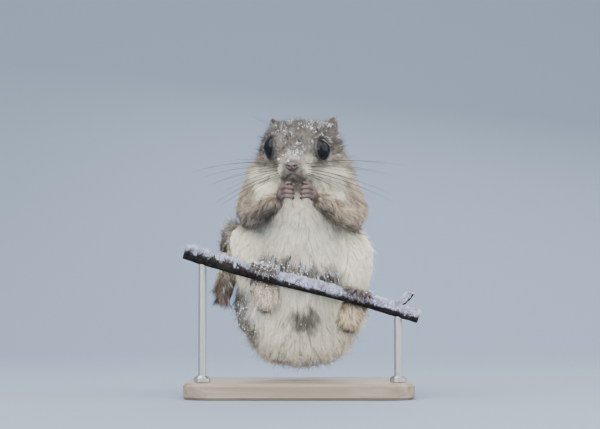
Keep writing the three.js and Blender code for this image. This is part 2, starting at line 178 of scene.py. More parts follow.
def addMask(mesh, name, values):
    layer = mesh.attributes.new(name, "FLOAT", "POINT")
    layer.data.foreach_set("value", np.asarray(values, np.float32))


# Hides the nodes that a piece stands for and hangs the piece on the body's root.
def tellFrame(piece, replaced=()):
    for name in replaced:
        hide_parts(name)
    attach(piece, "root")


def dress(piece, material, replaced):
    piece.data.materials.append(material)
    makeActive(piece)
    bpy.ops.object.shade_smooth()
    tellFrame(piece, replaced)


# Camera and backdrop

camera = {
    "distance": 0.70,
    "elevation": -3.5,  # it looks up a little
    "frameWidth": 0.264,  # what the frame shows at the animal's distance
    "aim": (0.44, 0, 30.8),
    "sensor": 36,
    "nearest": 0.01,
}


def turnTowards(thing, way):
    thing.rotation_mode = "QUATERNION"
    thing.rotation_quaternion = way.to_track_quat("-Z", "Y")


def makeCamera(c):
    tilt = math.radians(c["elevation"])
    back = Vector((0, -math.cos(tilt), math.sin(tilt)))
    bpy.ops.object.camera_add(location=Vector(toMetres(c["aim"])) + back * c["distance"])
    eye = bpy.context.object
    turnTowards(eye, -back)
    eye.data.sensor_width = c["sensor"]
    eye.data.lens = c["sensor"] * c["distance"] / c["frameWidth"]
    eye.data.clip_start = c["nearest"]
    bpy.context.scene.camera = eye


makeCamera(camera)

studio = {
    "floor": (0.182, 0.230, 0.308),
    "size": 8.0,
    "wallPlace": 1.6,
    "wallHeight": 3,
    "bend": 1.0,
    "worldColour": (0.74, 0.755, 0.78),
    "worldStrength": 0.95,
    "lampAim": (0, 5, 15),
}
lamps = {
    "skyPanel": {"place": (-0.35, -0.75, 0.95), "size": 2.0, "power": 66, "colour": (1.0, 0.985, 0.95)},
    "sidePanel": {"place": (0.85, -0.35, 0.45), "size": 1.3, "power": 18, "colour": (1.0, 0.98, 0.94)},
    "lowPanel": {"place": (0.05, -0.95, 0.1), "size": 0.3, "power": 2.4, "colour": (0.95, 0.97, 1.0)},
    "backPanel": {"place": (0.2, 0.9, 0.8), "size": 0.9, "power": 9, "colour": (0.92, 0.96, 1.0)},
}


def shaderOf(material):
    return material.node_tree.nodes["Principled BSDF"]


# Gives an input a value or the output of another node.
def feed(tree, socket, value):
    if hasattr(value, "is_output"):
        tree.links.new(value, socket)
    elif socket.type == "RGBA":
        socket.default_value = (*value, 1)
    else:
        socket.default_value = value


def setLook(material, looks):
    for name, value in looks.items():
        feed(material.node_tree, shaderOf(material).inputs[name], value)


def plainMaterial(name, colour, roughness):
    material = bpy.data.materials.new(name)
    material.use_nodes = True
    setLook(material, {"Base Color": colour, "Roughness": roughness})
    return material


# A floor that bends up into a wall behind the stand.
def makeStudio(s):
    deselectAll()
    bpy.ops.mesh.primitive_plane_add(size=s["size"], location=(0, s["wallPlace"] - s["size"] / 2, 0))
    floor = bpy.context.object
    floor.name = "floor"
    floor.data.materials.append(plainMaterial("paleFloor", s["floor"], 0.9))
    bpy.ops.object.mode_set(mode="EDIT")
    bpy.ops.mesh.select_mode(type="EDGE")
    bpy.ops.mesh.select_all(action="DESELECT")
    bpy.ops.object.mode_set(mode="OBJECT")
    for edge in floor.data.edges:
        edge.select = min(floor.data.vertices[v].co.y for v in edge.vertices) > 0
    bpy.ops.object.mode_set(mode="EDIT")
    bpy.ops.mesh.extrude_region_move(TRANSFORM_OT_translate={"value": (0, 0, s["wallHeight"])})
    bpy.ops.mesh.select_all(action="SELECT")
    bpy.ops.object.mode_set(mode="OBJECT")
    applyModifier(floor, "BEVEL", width=s["bend"], segments=16)
    bpy.ops.object.shade_smooth()


makeStudio(studio)


def makeLamps(panels, s):
    for name, panel in panels.items():
        bpy.ops.object.light_add(type="AREA", location=panel["place"])
        light = bpy.context.object
        light.name = name
        light.data.size = panel["size"]
        light.data.energy = panel["power"]
        light.data.color = panel["colour"]
        turnTowards(light, Vector(toMetres(s["lampAim"])) - Vector(panel["place"]))
    world = bpy.data.worlds.new("softSky")
    world.use_nodes = True
    sky = world.node_tree.nodes["Background"]
    feed(world.node_tree, sky.inputs["Color"], s["worldColour"])
    feed(world.node_tree, sky.inputs["Strength"], s["worldStrength"])
    bpy.context.scene.world = world


makeLamps(lamps, studio)
print("camera, backdrop and lamps made")


# Shader helpers

def nodeAt(tree, kind, **inputs):
    node = tree.nodes.new(kind)
    for name, value in inputs.items():
        node.inputs[name].default_value = value
    return node


def attribute(tree, name):
    node = tree.nodes.new("ShaderNodeAttribute")
    node.attribute_name = name
    return node.outputs["Fac"]


def mixColours(tree, factor, first, second, mode="MIX"):
    node = tree.nodes.new("ShaderNodeMix")
    node.data_type = "RGBA"
    node.blend_type = mode
    for socket, value in zip((node.inputs["Factor"], *node.inputs[6:8]), (factor, first, second)):
        feed(tree, socket, value)
    return node.outputs[2]


def calculate(tree, operation, first, second):
    node = tree.nodes.new("ShaderNodeMath")
    node.operation = operation
    for socket, value in zip(node.inputs, (first, second)):
        feed(tree, socket, value)
    return node.outputs[0]


def spread(tree, value, low, high, start=0.0, end=1.0):
    node = nodeAt(tree, "ShaderNodeMapRange")
    tree.links.new(value, node.inputs["Value"])
    for name, number in zip(("From Min", "From Max", "To Min", "To Max"), (low, high, start, end)):
        node.inputs[name].default_value = number
    return node.outputs["Result"]


def objectPlace(tree):
    return tree.nodes.new("ShaderNodeTexCoord").outputs["Object"]


# The grain that the materials share: noise stretched along the axes, 0 up to Low and 1 from High.
def makeGrainGroup():
    group = bpy.data.node_groups.new("grain", "ShaderNodeTree")
    noiseInputs = ("Scale", "Detail", "Roughness", "Distortion")
    for name in (*noiseInputs, "Low", "High"):
        group.interface.new_socket(name, in_out="INPUT", socket_type="NodeSocketFloat")
    group.interface.new_socket("Stretch", in_out="INPUT", socket_type="NodeSocketVector")
    group.interface.new_socket("Mask", in_out="OUTPUT", socket_type="NodeSocketFloat")
    given = group.nodes.new("NodeGroupInput").outputs
    stretch = nodeAt(group, "ShaderNodeMapping")
    noise = nodeAt(group, "ShaderNodeTexNoise")
    limits = nodeAt(group, "ShaderNodeMapRange")
    for start, end in (
        (objectPlace(group), stretch.inputs["Vector"]), (given["Stretch"], stretch.inputs["Scale"]),
        (stretch.outputs["Vector"], noise.inputs["Vector"]),
        *[(given[name], noise.inputs[name]) for name in noiseInputs],
        (noise.outputs["Fac"], limits.inputs["Value"]),
        (given["Low"], limits.inputs["From Min"]), (given["High"], limits.inputs["From Max"]),
        (limits.outputs["Result"], group.nodes.new("NodeGroupOutput").inputs["Mask"]),
    ):
        group.links.new(start, end)
    return group


grainGroup = makeGrainGroup()


def placeGroup(tree, group, **inputs):
    node = nodeAt(tree, "ShaderNodeGroup")
    node.node_tree = group
    for name, value in inputs.items():
        feed(tree, node.inputs[name], value)
    return node.outputs[0]


def grain(tree, scale, detail=3.0, low=0.0, high=1.0, roughness=0.55, distortion=0.0,
          stretch=(1, 1, 1)):
    return placeGroup(tree, grainGroup, Scale=scale, Detail=detail, Roughness=roughness,
                      Distortion=distortion, Low=low, High=high, Stretch=stretch)


def tinted(colour, share):
    return tuple(share * v for v in colour)


# A material that wavers between two tones; bump is scale, detail, strength and depth of its relief.
def twoTone(name, roughness, first, second, scale, detail, limits=(0.0, 1.0), bump=None):
    material = plainMaterial(name, first, roughness)
    tree = material.node_tree
    setLook(material, {"Base Color": mixColours(tree, grain(tree, scale, detail, *limits), first, second)})
    if bump:
        addBump(material, grain(tree, *bump[:2]), *bump[2:])
    return material


def addBump(material, height, strength, depth):
    tree = material.node_tree
    bump = nodeAt(tree, "ShaderNodeBump", Strength=strength, Distance=depth)
    tree.links.new(height, bump.inputs["Height"])
    tree.links.new(bump.outputs["Normal"], shaderOf(material).inputs["Normal"])


# Coat colours: one group mixes them by the masks that skin and hair both carry.

coatColours = {
    "greyBrown": (0.180, 0.156, 0.134),
    "armBrown": (0.185, 0.150, 0.124),
    "white": (0.89, 0.835, 0.665),
    "darkGrey": (0.060, 0.055, 0.052),
    "cream": (0.60, 0.465, 0.31),
    "tailBrown": (0.175, 0.125, 0.095),
    "frost": (0.80, 0.85, 0.92),
    "underfur": (0.085, 0.085, 0.092),
    "bareSkin": (0.072, 0.048, 0.041),
    "rootShade": 0.62,
    "whiteAtRoot": 0.86,  # how far white hair keeps its colour down to the root
    "whiteEven": 0.8,  # and how much less it varies
    "vary": (0.40, 1.60),
    "frostFrom": (0.3, 0.7),  # along the hair
    "skinTip": 0.4,  # the skin has the colour of the hair over it at this share of its length
}
# Masks in the order in which their colours lie over one another
coatMasks = {
    "Brown": "armBrown", "Tail": "tailBrown", "Cream": "cream", "White": "white", "Dark": "darkGrey",
    "Bare": "bareSkin", "Frost": "frost",
}


def makeCoatGroup(c):
    group = bpy.data.node_groups.new("coatColour", "ShaderNodeTree")
    for name in (*coatMasks, "Tip", "Vary"):
        group.interface.new_socket(name, in_out="INPUT", socket_type="NodeSocketFloat")
    group.interface.new_socket("Color", in_out="OUTPUT", socket_type="NodeSocketColor")
    given = group.nodes.new("NodeGroupInput").outputs

    def lessWhite(share):
        return calculate(group, "SUBTRACT", 1.0, calculate(group, "MULTIPLY", given["White"], share))

    colour = c["greyBrown"]
    for mask in list(coatMasks)[:-1]:
        colour = mixColours(group, given[mask], colour, c[coatMasks[mask]])
    root = spread(group, given["Tip"], 0.0, 0.5, c["rootShade"], 0.0)
    root = calculate(group, "MULTIPLY", root, lessWhite(c["whiteAtRoot"]))
    colour = mixColours(group, root, colour, c["underfur"])
    bright = spread(group, given["Vary"], 0.0, 1.0, *c["vary"])
    shade = group.nodes.new("ShaderNodeCombineColor")
    for socket in shade.inputs:
        group.links.new(bright, socket)
    varied = mixColours(group, 1.0, colour, shade.outputs[0], "MULTIPLY")
    colour = mixColours(group, lessWhite(c["whiteEven"]), colour, varied)
    iced = calculate(group, "MULTIPLY", given["Frost"], spread(group, given["Tip"], *c["frostFrom"]))
    colour = mixColours(group, iced, colour, c["frost"])
    group.links.new(colour, group.nodes.new("NodeGroupOutput").inputs["Color"])
    return group


coatGroup = makeCoatGroup(coatColours)


def coatMaterial(name, onSkin):
    material = plainMaterial(name, coatColours["greyBrown"], 0.75)
    tree = material.node_tree
    inputs = {mask: attribute(tree, mask.lower()) for mask in coatMasks}
    if onSkin:
        inputs.update(Tip=coatColours["skinTip"], Vary=grain(tree, 900))
        addBump(material, grain(tree, 1400), 0.5, 0.0003)
    else:
        inputs.update(Tip=attribute(tree, "tip"), Vary=attribute(tree, "vary"))
    setLook(material, {"Base Color": placeGroup(tree, coatGroup, **inputs), "Specular IOR Level": 0.25})
    return material


skinMaterial = coatMaterial("coatSkin", True)
hairMaterial = coatMaterial("coatHair", False)

# Tail: it follows the solid's course, a little nearer to the flank over the branch.

tail = {
    "path": (
        (0, 31, -22), (-1, 40, -17.5), (-7, 46.2, -4), (-17, 44.4, 10), (-27.5, 36, 18.5),
        (-30.8, 25, 18), (-31.0, 16, 9.5), (-32.8, 11, 0), (-33, 9, -8.5),
    ),
    "steps": 121,
    "halfWidth": 12.6,
    "coreShare": 0.42,
    "coreStart": 0.03,  # share of the length
    "coreLength": 0.93,
    "thickness": 4.6,
    "facesFrom": (1, 20, 0),  # its flat side looks away from here
    "facesUp": (1, 1, 0.25),
}


# A smooth line through points, evenly parted.
def evenLine(points, count):
    points = np.asarray(points, float)
    ends = np.vstack((2 * points[0] - points[1], points, 2 * points[-1] - points[-2]))
    line = []
    for i in range(1, len(ends) - 2):
        p0, p1, p2, p3 = ends[i - 1:i + 3]
        for t in np.linspace(0, 1, 24, endpoint=False):
            line.append(0.5 * (2 * p1 + (p2 - p0) * t + (2 * p0 - 5 * p1 + 4 * p2 - p3) * t * t
                               + (3 * p1 - p0 - 3 * p2 + p3) * t ** 3))
    line.append(points[-1])
    line = np.array(line)
    along = np.concatenate(([0], np.cumsum(distance(np.diff(line, axis=0)))))
    wanted = np.linspace(0, along[-1], count)
    return columns(*[np.interp(wanted, along, line[:, k]) for k in range(3)])


tailLine = evenLine(tail["path"], tail["steps"])


# Place and own directions of the tail at shares t of its length.
def tailFrame(t):
    place = np.clip(t, 0, 1) * (len(tailLine) - 1)
    low = np.clip(place.astype(int), 0, len(tailLine) - 2)
    part = (place - low)[:, None]
    at = tailLine[low] * (1 - part) + tailLine[low + 1] * part
    ahead = np.gradient(tailLine, axis=0)
    along = unit(ahead[low] * (1 - part) + ahead[low + 1] * part)
    thin = unit(beside((at - tail["facesFrom"]) * tail["facesUp"], along))
    return at, along, thin, np.cross(along, thin)


def tailSpread(t):
    return tail["halfWidth"] * (0.55 + 0.45 * smooth(t, 0, 0.25) - 0.35 * smooth(t, 0.82, 1))


# The tail's bones and skin, inside its hair.
def makeTailCore():
    core, ball = makeBall(20, 60, "tailCore")
    t = np.arccos(np.clip(-ball[:, 2], -1, 1)) / math.pi
    at, along, thin, wide = tailFrame(tail["coreStart"] + tail["coreLength"] * t)
    reach = np.maximum(np.hypot(ball[:, 0], ball[:, 1]), 1e-6)
    cap = np.sqrt(np.clip(np.minimum(t, 1 - t) / 0.06, 0, 1)) / reach
    half = (tailSpread(t) * tail["coreShare"] * cap * ball[:, 0])[:, None]
    deep = (tail["thickness"] / 2 * cap * ball[:, 1])[:, None]
    writePoints(core.data, toMetres(at + wide * half + thin * deep))
    faceOutward(core)
    return core


# Head: places on it are measured from its own middle, before its small turn.

head = {
    "middle": np.array((0.8, 0.0, 58.0)),
    "turn": 9,
    "noseTip": np.array((0, -24.4, -7.6)),
    "mouth": ((-5.2, -15.5, -12.5), (-3.6, -18.6, -12.6), (-1.3, -21.6, -12), (0, -22.4, -11.7),
              (1.3, -21.6, -12), (3.6, -18.6, -12.6), (5.2, -15.5, -12.5)),
    "cleft": ((0, -24.0, -9.6), (0, -23.2, -10.5), (0, -22.4, -11.7)),
}
eyes = {
    "radius": 5.8,
    "centre": (8.6, -10.9, 0.6),
    "slant": 0.5,
    "turn": 58,
    "rise": 0.06,
}
wrists = {
    "middle": np.array((-0.6, -22.2, 36.9)),
    "out": 7.8,
}


def turned(points, degrees):
    c, s = math.cos(math.radians(degrees)), math.sin(math.radians(degrees))
    x, y, z = np.moveaxis(np.asarray(points, float), -1, 0)
    return columns(c * x - s * y, s * x + c * y, z)


def toHead(points):
    return turned(np.asarray(points) - head["middle"], head["turn"])


def fromHead(points):
    return turned(points, -head["turn"]) + head["middle"]


def eyeCentre(side):
    x, y, z = eyes["centre"]
    return np.array((side * x, y, z - side * eyes["slant"]))


def eyeLook(side):
    turn = math.radians(eyes["turn"])
    return unit(np.array((side * math.sin(turn), -math.cos(turn), eyes["rise"])))


def fromEyes(local):
    return np.minimum(*[distance(local - eyeCentre(side)) for side in (-1, 1)])


def fromSnout(local):
    return distance(local - head["noseTip"])


# Millimetres from the nearer wrist, where the arms meet the hands.
def fromWrist(points):
    places = [wrists["middle"] + (side * wrists["out"], 0, 0) for side in (-1, 1)]
    return np.minimum(*[distance(points - place) for place in places])


# Skin: the flesh of the solids run together, drawn in by the depth of the coat.

flesh = {
    "head": ("head",),
    "ears": ("ear_left", "ear_right"),
    "arms": ("upper_arm_left", "upper_arm_right", "forearm_left", "forearm_right"),
    "legs": ("leg_left", "leg_right"),
    "membranes": ("membrane_left", "membrane_right"),
    "trunk": ("torso", "neck"),
}
fleshNames = [name for group in flesh.values() for name in group]
tailNames = ("tail_base", "tail_middle", "tail_tip")
skin = {
    "cell": 0.00060,
    "swell": 0.30,  # closes the joints between the solids
    "evening": 70,
    "blend": 1.3,  # over how far one part of the body turns into the next
    "depth": {
        "head": 1.2, "ears": 0.3, "arms": 1.9, "legs": 2.2, "membranes": 1.6, "trunk": 2.5, "tail": 0.2,
    },
    "atSnout": (5, 20, 0.22),  # from, to, and the share of the depth that stays
    "atEyes": (6.5, 10.0, 0.25),
    "atWrists": (3, 12),
    "lips": {"depth": 0.75, "width": 0.55, "edge": 0.28, "edgePlace": 1.3, "edgeWidth": 0.6},
}


def treeOf(names):
    points, faces = [], []
    for name in names:
        mesh = nodes[name].data
        start = len(points)
        points.extend(v.co.copy() for v in mesh.vertices)
        faces.extend([start + i for i in p.vertices] for p in mesh.polygons)
    return BVHTree.FromPolygons(points, faces)


# How much of each part of the body is at each point, from 0 to 1.
def partShares(points, core):
    trees = [treeOf(flesh[name]) for name in flesh]
    trees.append(BVHTree.FromObject(core, bpy.context.evaluated_depsgraph_get()))
    away = np.array([[tree.find_nearest(p)[3] * 1000 for tree in trees] for p in map(Vector, points)])
    weight = np.exp(-(away - away.min(axis=1, keepdims=True)) / skin["blend"])
    weight /= weight.sum(axis=1, keepdims=True)
    return dict(zip((*flesh, "tail"), weight.T))


# Keeps the biggest of a piece's loose parts, which is its outside.
def keepOutside(piece):
    editAll(piece, bpy.ops.mesh.separate, type="LOOSE")
    parts = [piece] + [o for o in bpy.context.selected_objects if o != piece]
    biggest = max(parts, key=lambda part: len(part.data.vertices))
    for part in parts:
        if part != biggest:
            bpy.data.objects.remove(part)
    makeActive(biggest)
    return biggest


def swell(piece, millimetres):
    points = readPoints(piece.data)
    points += readNormals(piece.data) * (np.reshape(millimetres, (-1, 1)) / 1000)
    writePoints(piece.data, points)


# Evens out a surface, more where weight is near 1.
def relax(piece, weight, times):
    mesh = piece.data
    first, second = readRows(mesh.edges, "vertices", 2, np.int32).T
    points = readPoints(mesh)
    n = len(points)
    count = np.bincount(first, minlength=n) + np.bincount(second, minlength=n)
    for _ in range(times):
        total = columns(*[np.bincount(first, v[second], n) + np.bincount(second, v[first], n)
                          for v in points.T])
        points += 0.5 * weight[:, None] * (total / count[:, None] - points)
    writePoints(mesh, points)


# Millimetres from the lines between the lips, at the places near the snout.
def fromLips(local, near, steps):
    line = np.vstack([evenLine(head[name], count) for name, count in zip(("mouth", "cleft"), steps)])
    return np.min(distance(local[near][:, None, :] - line[None, :, :]), axis=1)


def makeSkin(s):
    core = makeTailCore()
    body = cast(fleshNames, "skin")
    swell(body, s["swell"])
    body = joinPieces([body, addPiece("tailCore", core.data.copy())])
    remesh(body, s["cell"])
    body = keepOutside(body)
    body.name = "skin"
    smoothOut(body, 6)
    points = readPoints(body.data)
    shares = partShares(points, core)
    bpy.data.objects.remove(core)
    relax(body, 1 - np.clip(0.93 * shares["head"] + shares["ears"] + shares["tail"], 0, 1), s["evening"])
    places = toMillimetres(readPoints(body.data))
    depth = s["swell"] + sum(shares[name] * s["depth"][name] for name in shares)
    local = toHead(places)
    onHead = shares["head"] > 0.4
    depth *= np.where(onHead, rise(fromSnout(local), *s["atSnout"]), 1)
    for side in (-1, 1):
        depth *= np.where(onHead, rise(distance(local - eyeCentre(side)), *s["atEyes"]), 1)
    depth *= np.where(shares["arms"] > 0.4, smooth(fromWrist(places), *s["atWrists"]), 1)
    swell(body, -depth)
    smoothOut(body, 3)
    local = toHead(toMillimetres(readPoints(body.data)))
    near = np.flatnonzero(fromSnout(local) < 16)
    away = fromLips(local, near, (60, 16))
    lips = s["lips"]
    depth = np.zeros(len(local))
    depth[near] = (lips["depth"] * np.exp(-(away / lips["width"]) ** 2)
                   - lips["edge"] * np.exp(-((away - lips["edgePlace"]) / lips["edgeWidth"]) ** 2))
    swell(body, -depth)
    return body, shares


skinPiece, shares = makeSkin(skin)
print("skin made:", len(skinPiece.data.vertices), "points")

# What each place on the skin is like: the lie of the hair, its length and lift, and its markings.

coat = {
    # length in millimetres, lift in degrees, hairs per square millimetre, width in millimetres
    "head": {"length": 2.6, "lift": 17, "density": 17, "width": 0.23},
    "ears": {"length": 1.5, "lift": 14, "density": 16, "width": 0.20},
    "arms": {"length": 4.4, "lift": 17, "density": 9, "width": 0.25},
    "legs": {"length": 5.2, "lift": 24, "density": 5.7, "width": 0.30},
    "membranes": {"length": 4.6, "lift": 24, "density": 6.2, "width": 0.29},
    "trunk": {"length": 5.6, "lift": 24, "density": 5.7, "width": 0.31},
    "tail": {"length": 11, "lift": 12, "density": 8.5, "width": 0.30},
}
# Middles and half sizes of single marks: the first five on the head and measured from its middle
marks = {
    "brow": ((5.6, -15.0, 4.6), (1.3, 5, 3.6)),
    "underEye": ((6.4, -17.0, -5.6), (2.6, 4, 2.4)),
    "behindEye": ((14.5, -5.5, 1.0), (3.0, 3.2, 5.0)),
    "chin": ((0.2, -20.5, -14.2), (5.5, 7, 3.4)),
    "bridge": ((0, -20.5, -3.0), (4.0, 5, 3.6)),
    "spot": ((2.6, 4, -14.0), (7.2, 60, 6.8)),
    "stain": ((-5, -12, 11), (15, 60, 7)),
}
bodyMiddle = 0.5  # its x


# Soft noise from 0 to 1 at points in millimetres.
def ripple(points, size, seed):
    waves = np.random.default_rng(seed)
    total = 0
    for _ in range(7):
        way = unit(waves.normal(size=3)) * (2 * math.pi / size) * waves.uniform(0.6, 1.5)
        total = total + np.sin(points @ way + waves.uniform(0, 6.3))
    return np.clip(0.5 + total / 7.5, 0, 1)


def branchHeight(x):
    return 0.7 * np.sin(x / 17) - 0.28 * x


def blob(points, mark):
    middle, size = marks[mark]
    return np.exp(-np.sum(((points - middle) / np.array(size)) ** 2, axis=1))


# Over the face it runs back from the nose and round the eyes, over the rest down and out.
def lieOfHair(p, local, shares):
    x, y, z = p.T
    side = np.sign(local[:, 0]) + (local[:, 0] == 0)
    away = unit(local - (head["noseTip"] + np.array((0, 4, 1))))
    low = smooth(-local[:, 2], 2, 10)
    away[:, 2] -= 0.7 * low
    away[:, 0] += 0.25 * side * low
    for eye in (-1, 1):
        out = local - eyeCentre(eye)
        pull = 0.9 * np.exp(-np.clip(distance(out) - 6.0, 0, None) / 1.8)
        away = unit(away + out / distance(out)[:, None] * pull[:, None])
    outward = np.sign(x) * smooth(np.abs(x), 0, 16)
    onTail = shares["tail"] > 0.02
    nearest = np.array([np.argmin(np.sum((tailLine - q) ** 2, axis=1)) for q in p[onTail]])
    t = np.zeros(len(p))
    t[onTail] = nearest / (len(tailLine) - 1)
    at, along, thin, wide = tailFrame(t)
    across = np.sum((p - at) * wide, axis=1) / (tailSpread(t) * tail["coreShare"])
    lie = {
        "head": turned(away, -head["turn"]),
        "ears": columns(0.3 * side, 0, 1),
        "trunk": columns(0.28 * outward, 0.22 + 0.25 * smooth(-z, 10, 34), -1),
        "membranes": columns(0.25 * outward, 0.15, -1),
        "legs": columns(0.22 * outward, 0.25, -1),
        "arms": columns(0.75 * np.sign(x), 0.15, -1),
        "tail": along + wide * np.clip(across, -1, 1)[:, None] * 1.5,
    }
    total = sum(unit(lie[name]) * shares[name][:, None] for name in lie)
    return total, t, np.abs(across)


def markings(p, local, shares, t, across):
    x, y, z = p.T
    hx, hy, hz = local.T
    ax = np.abs(hx)
    outward = np.abs(x - bodyMiddle)
    mirrored = columns(ax, hy, hz)
    wander = ripple(p, 14, 3) - 0.5
    fine = ripple(p, 4, 5) - 0.5
    onHead = smooth(shares["head"], 0.25, 0.6)
    trunk = shares["trunk"] + shares["legs"] + shares["membranes"]
    height = z - branchHeight(x)

    # The underside is white as far back as edge, over a blend of some millimetres.
    edge = (12 + 3 * smooth(z, 8, 22) + 23.5 * smooth(-z, 6, 24) - 13 * smooth(z, 30, 40)
            + 4 * wander + 1.5 * fine)
    blend = 3 + 5 * smooth(-z, 10, 24)
    white = trunk * (1 - smooth(y + 4 * fine, edge - blend, edge + 1.3 * blend))
    shoulder = smooth(z, 26, 34) * smooth(outward + 2.0 * fine, 17, 19)
    white *= 1 - 0.85 * shoulder
    stain = trunk * blob(p, "stain") * (y < 10)
    white *= 1 - 0.35 * stain
    # Below the cheeks: painted shade under their overhang, mixed with the grey-brown fur at the top of the
    # arms; it makes the chest there less white, browner and darker.
    furAndShadeUnderCheek = (smooth(z, 32, 34) * fade(z + 2 * fine, 37.6, 38.4)
                  * smooth(outward + 2 * fine, 8, 10) * (y < 4))
    white *= 1 - 0.9 * trunk * furAndShadeUnderCheek
    cheek = (smooth(-hz, 4.5, 9) * fade(hy, 0, 8) * smooth(ax, 3.5, 7)
             * (1 - 0.8 * smooth(ax + 3 * fine, 15, 18.5)))
    chin = 0.4 * smooth(-hz, 12.5, 14.5)
    face = np.maximum.reduce((cheek, chin, 0.45 * blob(mirrored, "brow"), 0.4 * blob(mirrored, "underEye")))
    white = np.where(onHead > 0, np.maximum(white * (1 - onHead), onHead * face), white)
    white *= 1 - 0.75 * shares["arms"]
    frostedTail = smooth(t, 0.45, 0.6) * fade(t, 0.82, 0.88) * fade(y + 6 * wander, 24, 37)
    white = np.maximum(white, 0.35 * shares["tail"] * frostedTail)
    # Whiter along the fringe at the very bottom: white fur and frost, together with painted light that
    # brightens its shaded underside.
    fringe = trunk * smooth(-z + 3 * fine, 25, 30)
    white = np.maximum(white, 0.85 * fringe * fade(y + 6 * wander, 22, 38))

    # Browner on the arms, the head's top and its own right shoulder, creamy on the left one and at
    # the tail's tip
    brown = np.maximum.reduce((
        shares["arms"] * np.clip(0.75 + 0.9 * wander - 0.35 * (x > 0), 0, 1),
        0.5 * trunk * shoulder * (x < 0), 0.7 * onHead * smooth(hz, -2, 5), 0.8 * trunk * furAndShadeUnderCheek))
    cream = np.maximum.reduce((
        0.40 * shares["arms"] * np.clip(smooth(z, 30, 40) + 0.75 * (x > 0), 0, 1),
        trunk * shoulder * (0.45 + 0.2 * (x > 0)), 0.2 * onHead * smooth(ax, 14, 17.5) * smooth(-hz, -4, 7),
        0.4 * shares["tail"] * smooth(t, 0.9, 0.99), stain))
    tailBrown = shares["tail"] * (1 - 0.3 * smooth(across, 0.5, 1.0)) * rise(t, 0.84, 0.92, 0.35)

    # Dark in the low spot, the band along the branch, the flanks and the bottom below it, the rings
    # round the eyes, the forehead and the forearms
    spot = smooth(blob(p, "spot") + 0.35 * fine, 0.1, 0.9) * (y < 16)
    band = trunk * smooth(height + 2 * fine, 1.5, 5) * fade(height + 4 * fine, 10, 15) * fade(y, 8, 14)
    band *= smooth(x, -22, -12) * fade(x, 17, 23) * (0.75 + 0.5 * ripple(p, 3, 33))
    flank = np.maximum(smooth(-height, 8, 14) * smooth(x - bodyMiddle + 6 * wander, 21, 24),
                       smooth(-height, 3, 8) * smooth(6 * wander - x, 17.5, 21))
    margin = trunk * flank * fade(y, 16, 26)
    bottom = trunk * smooth(-z, 24, 30) * smooth(ripple(p, 9, 77), 0.5, 0.8)
    forehead = 0.88 * smooth(hz + 2 * fine, -6, 2) + 0.08 * smooth(hz, 6, 12)
    forehead = forehead * (1 - 0.5 * smooth(hy, 3, 12)) * (1 - 0.5 * smooth(ax, 12, 17))
    fore = shares["arms"] * fade(np.abs(x) + 3 * fine, 9, 19)
    dark = np.maximum.reduce((
        0.92 * spot, 0.9 * band, 0.72 * margin, 0.5 * bottom, 0.22 * fore, 0.4 * trunk * furAndShadeUnderCheek,
        0.6 * onHead * fade(fromEyes(local), 6.2, 6.8), onHead * (0.25 * blob(mirrored, "behindEye")),
        onHead * forehead, 0.3 * shares["ears"]))

    # Bare along the lips and thinly haired on the chin; the chin's dark bare colour is partly painted shade
    # under the mouth
    near = np.flatnonzero((fromSnout(local) < 15) & (shares["head"] > 0.2))
    bare = np.zeros(len(p))
    bare[near] = 0.9 * fade(fromLips(local, near, (40, 10)), 0.15, 0.8)
    bare = np.maximum(bare, 0.8 * (shares["head"] > 0.3) * blob(local, "chin"))

    crown = onHead * smooth(hz, 1, 9) * fade(hy, 3, 12) * smooth(ripple(p, 6, 9), 0.3, 0.75)
    crown *= rise(ax, 1, 3.5, 0.45)
    bridge = onHead * 0.8 * blob(local, "bridge")
    rim = 0.75 * shares["tail"] * smooth(across, 0.3, 0.9) * smooth(t, 0.5, 0.65)
    rim *= 1 - 0.8 * smooth(t, 0.86, 0.93)
    frost = np.maximum.reduce((
        0.55 * crown, 0.7 * bridge, 0.1 * onHead * smooth(hz, -4, 2),
        0.3 * shares["ears"], 0.7 * band, 0.7 * bottom, 1.3 * fringe, 0.5 * margin,
        0.35 * spot * smooth(-z, 14, 18), rim,
        0.6 * shares["legs"] * fade(height, -4, 2) * (x < -15) * (y < 12)))
    frost = frost * (0.35 + 1.3 * ripple(p, 4, 19))
    found = {"white": white, "brown": brown, "dark": dark, "cream": cream, "tail": tailBrown,
             "frost": frost, "bare": bare}
    return {name: np.clip(values, 0, 1) for name, values in found.items()}


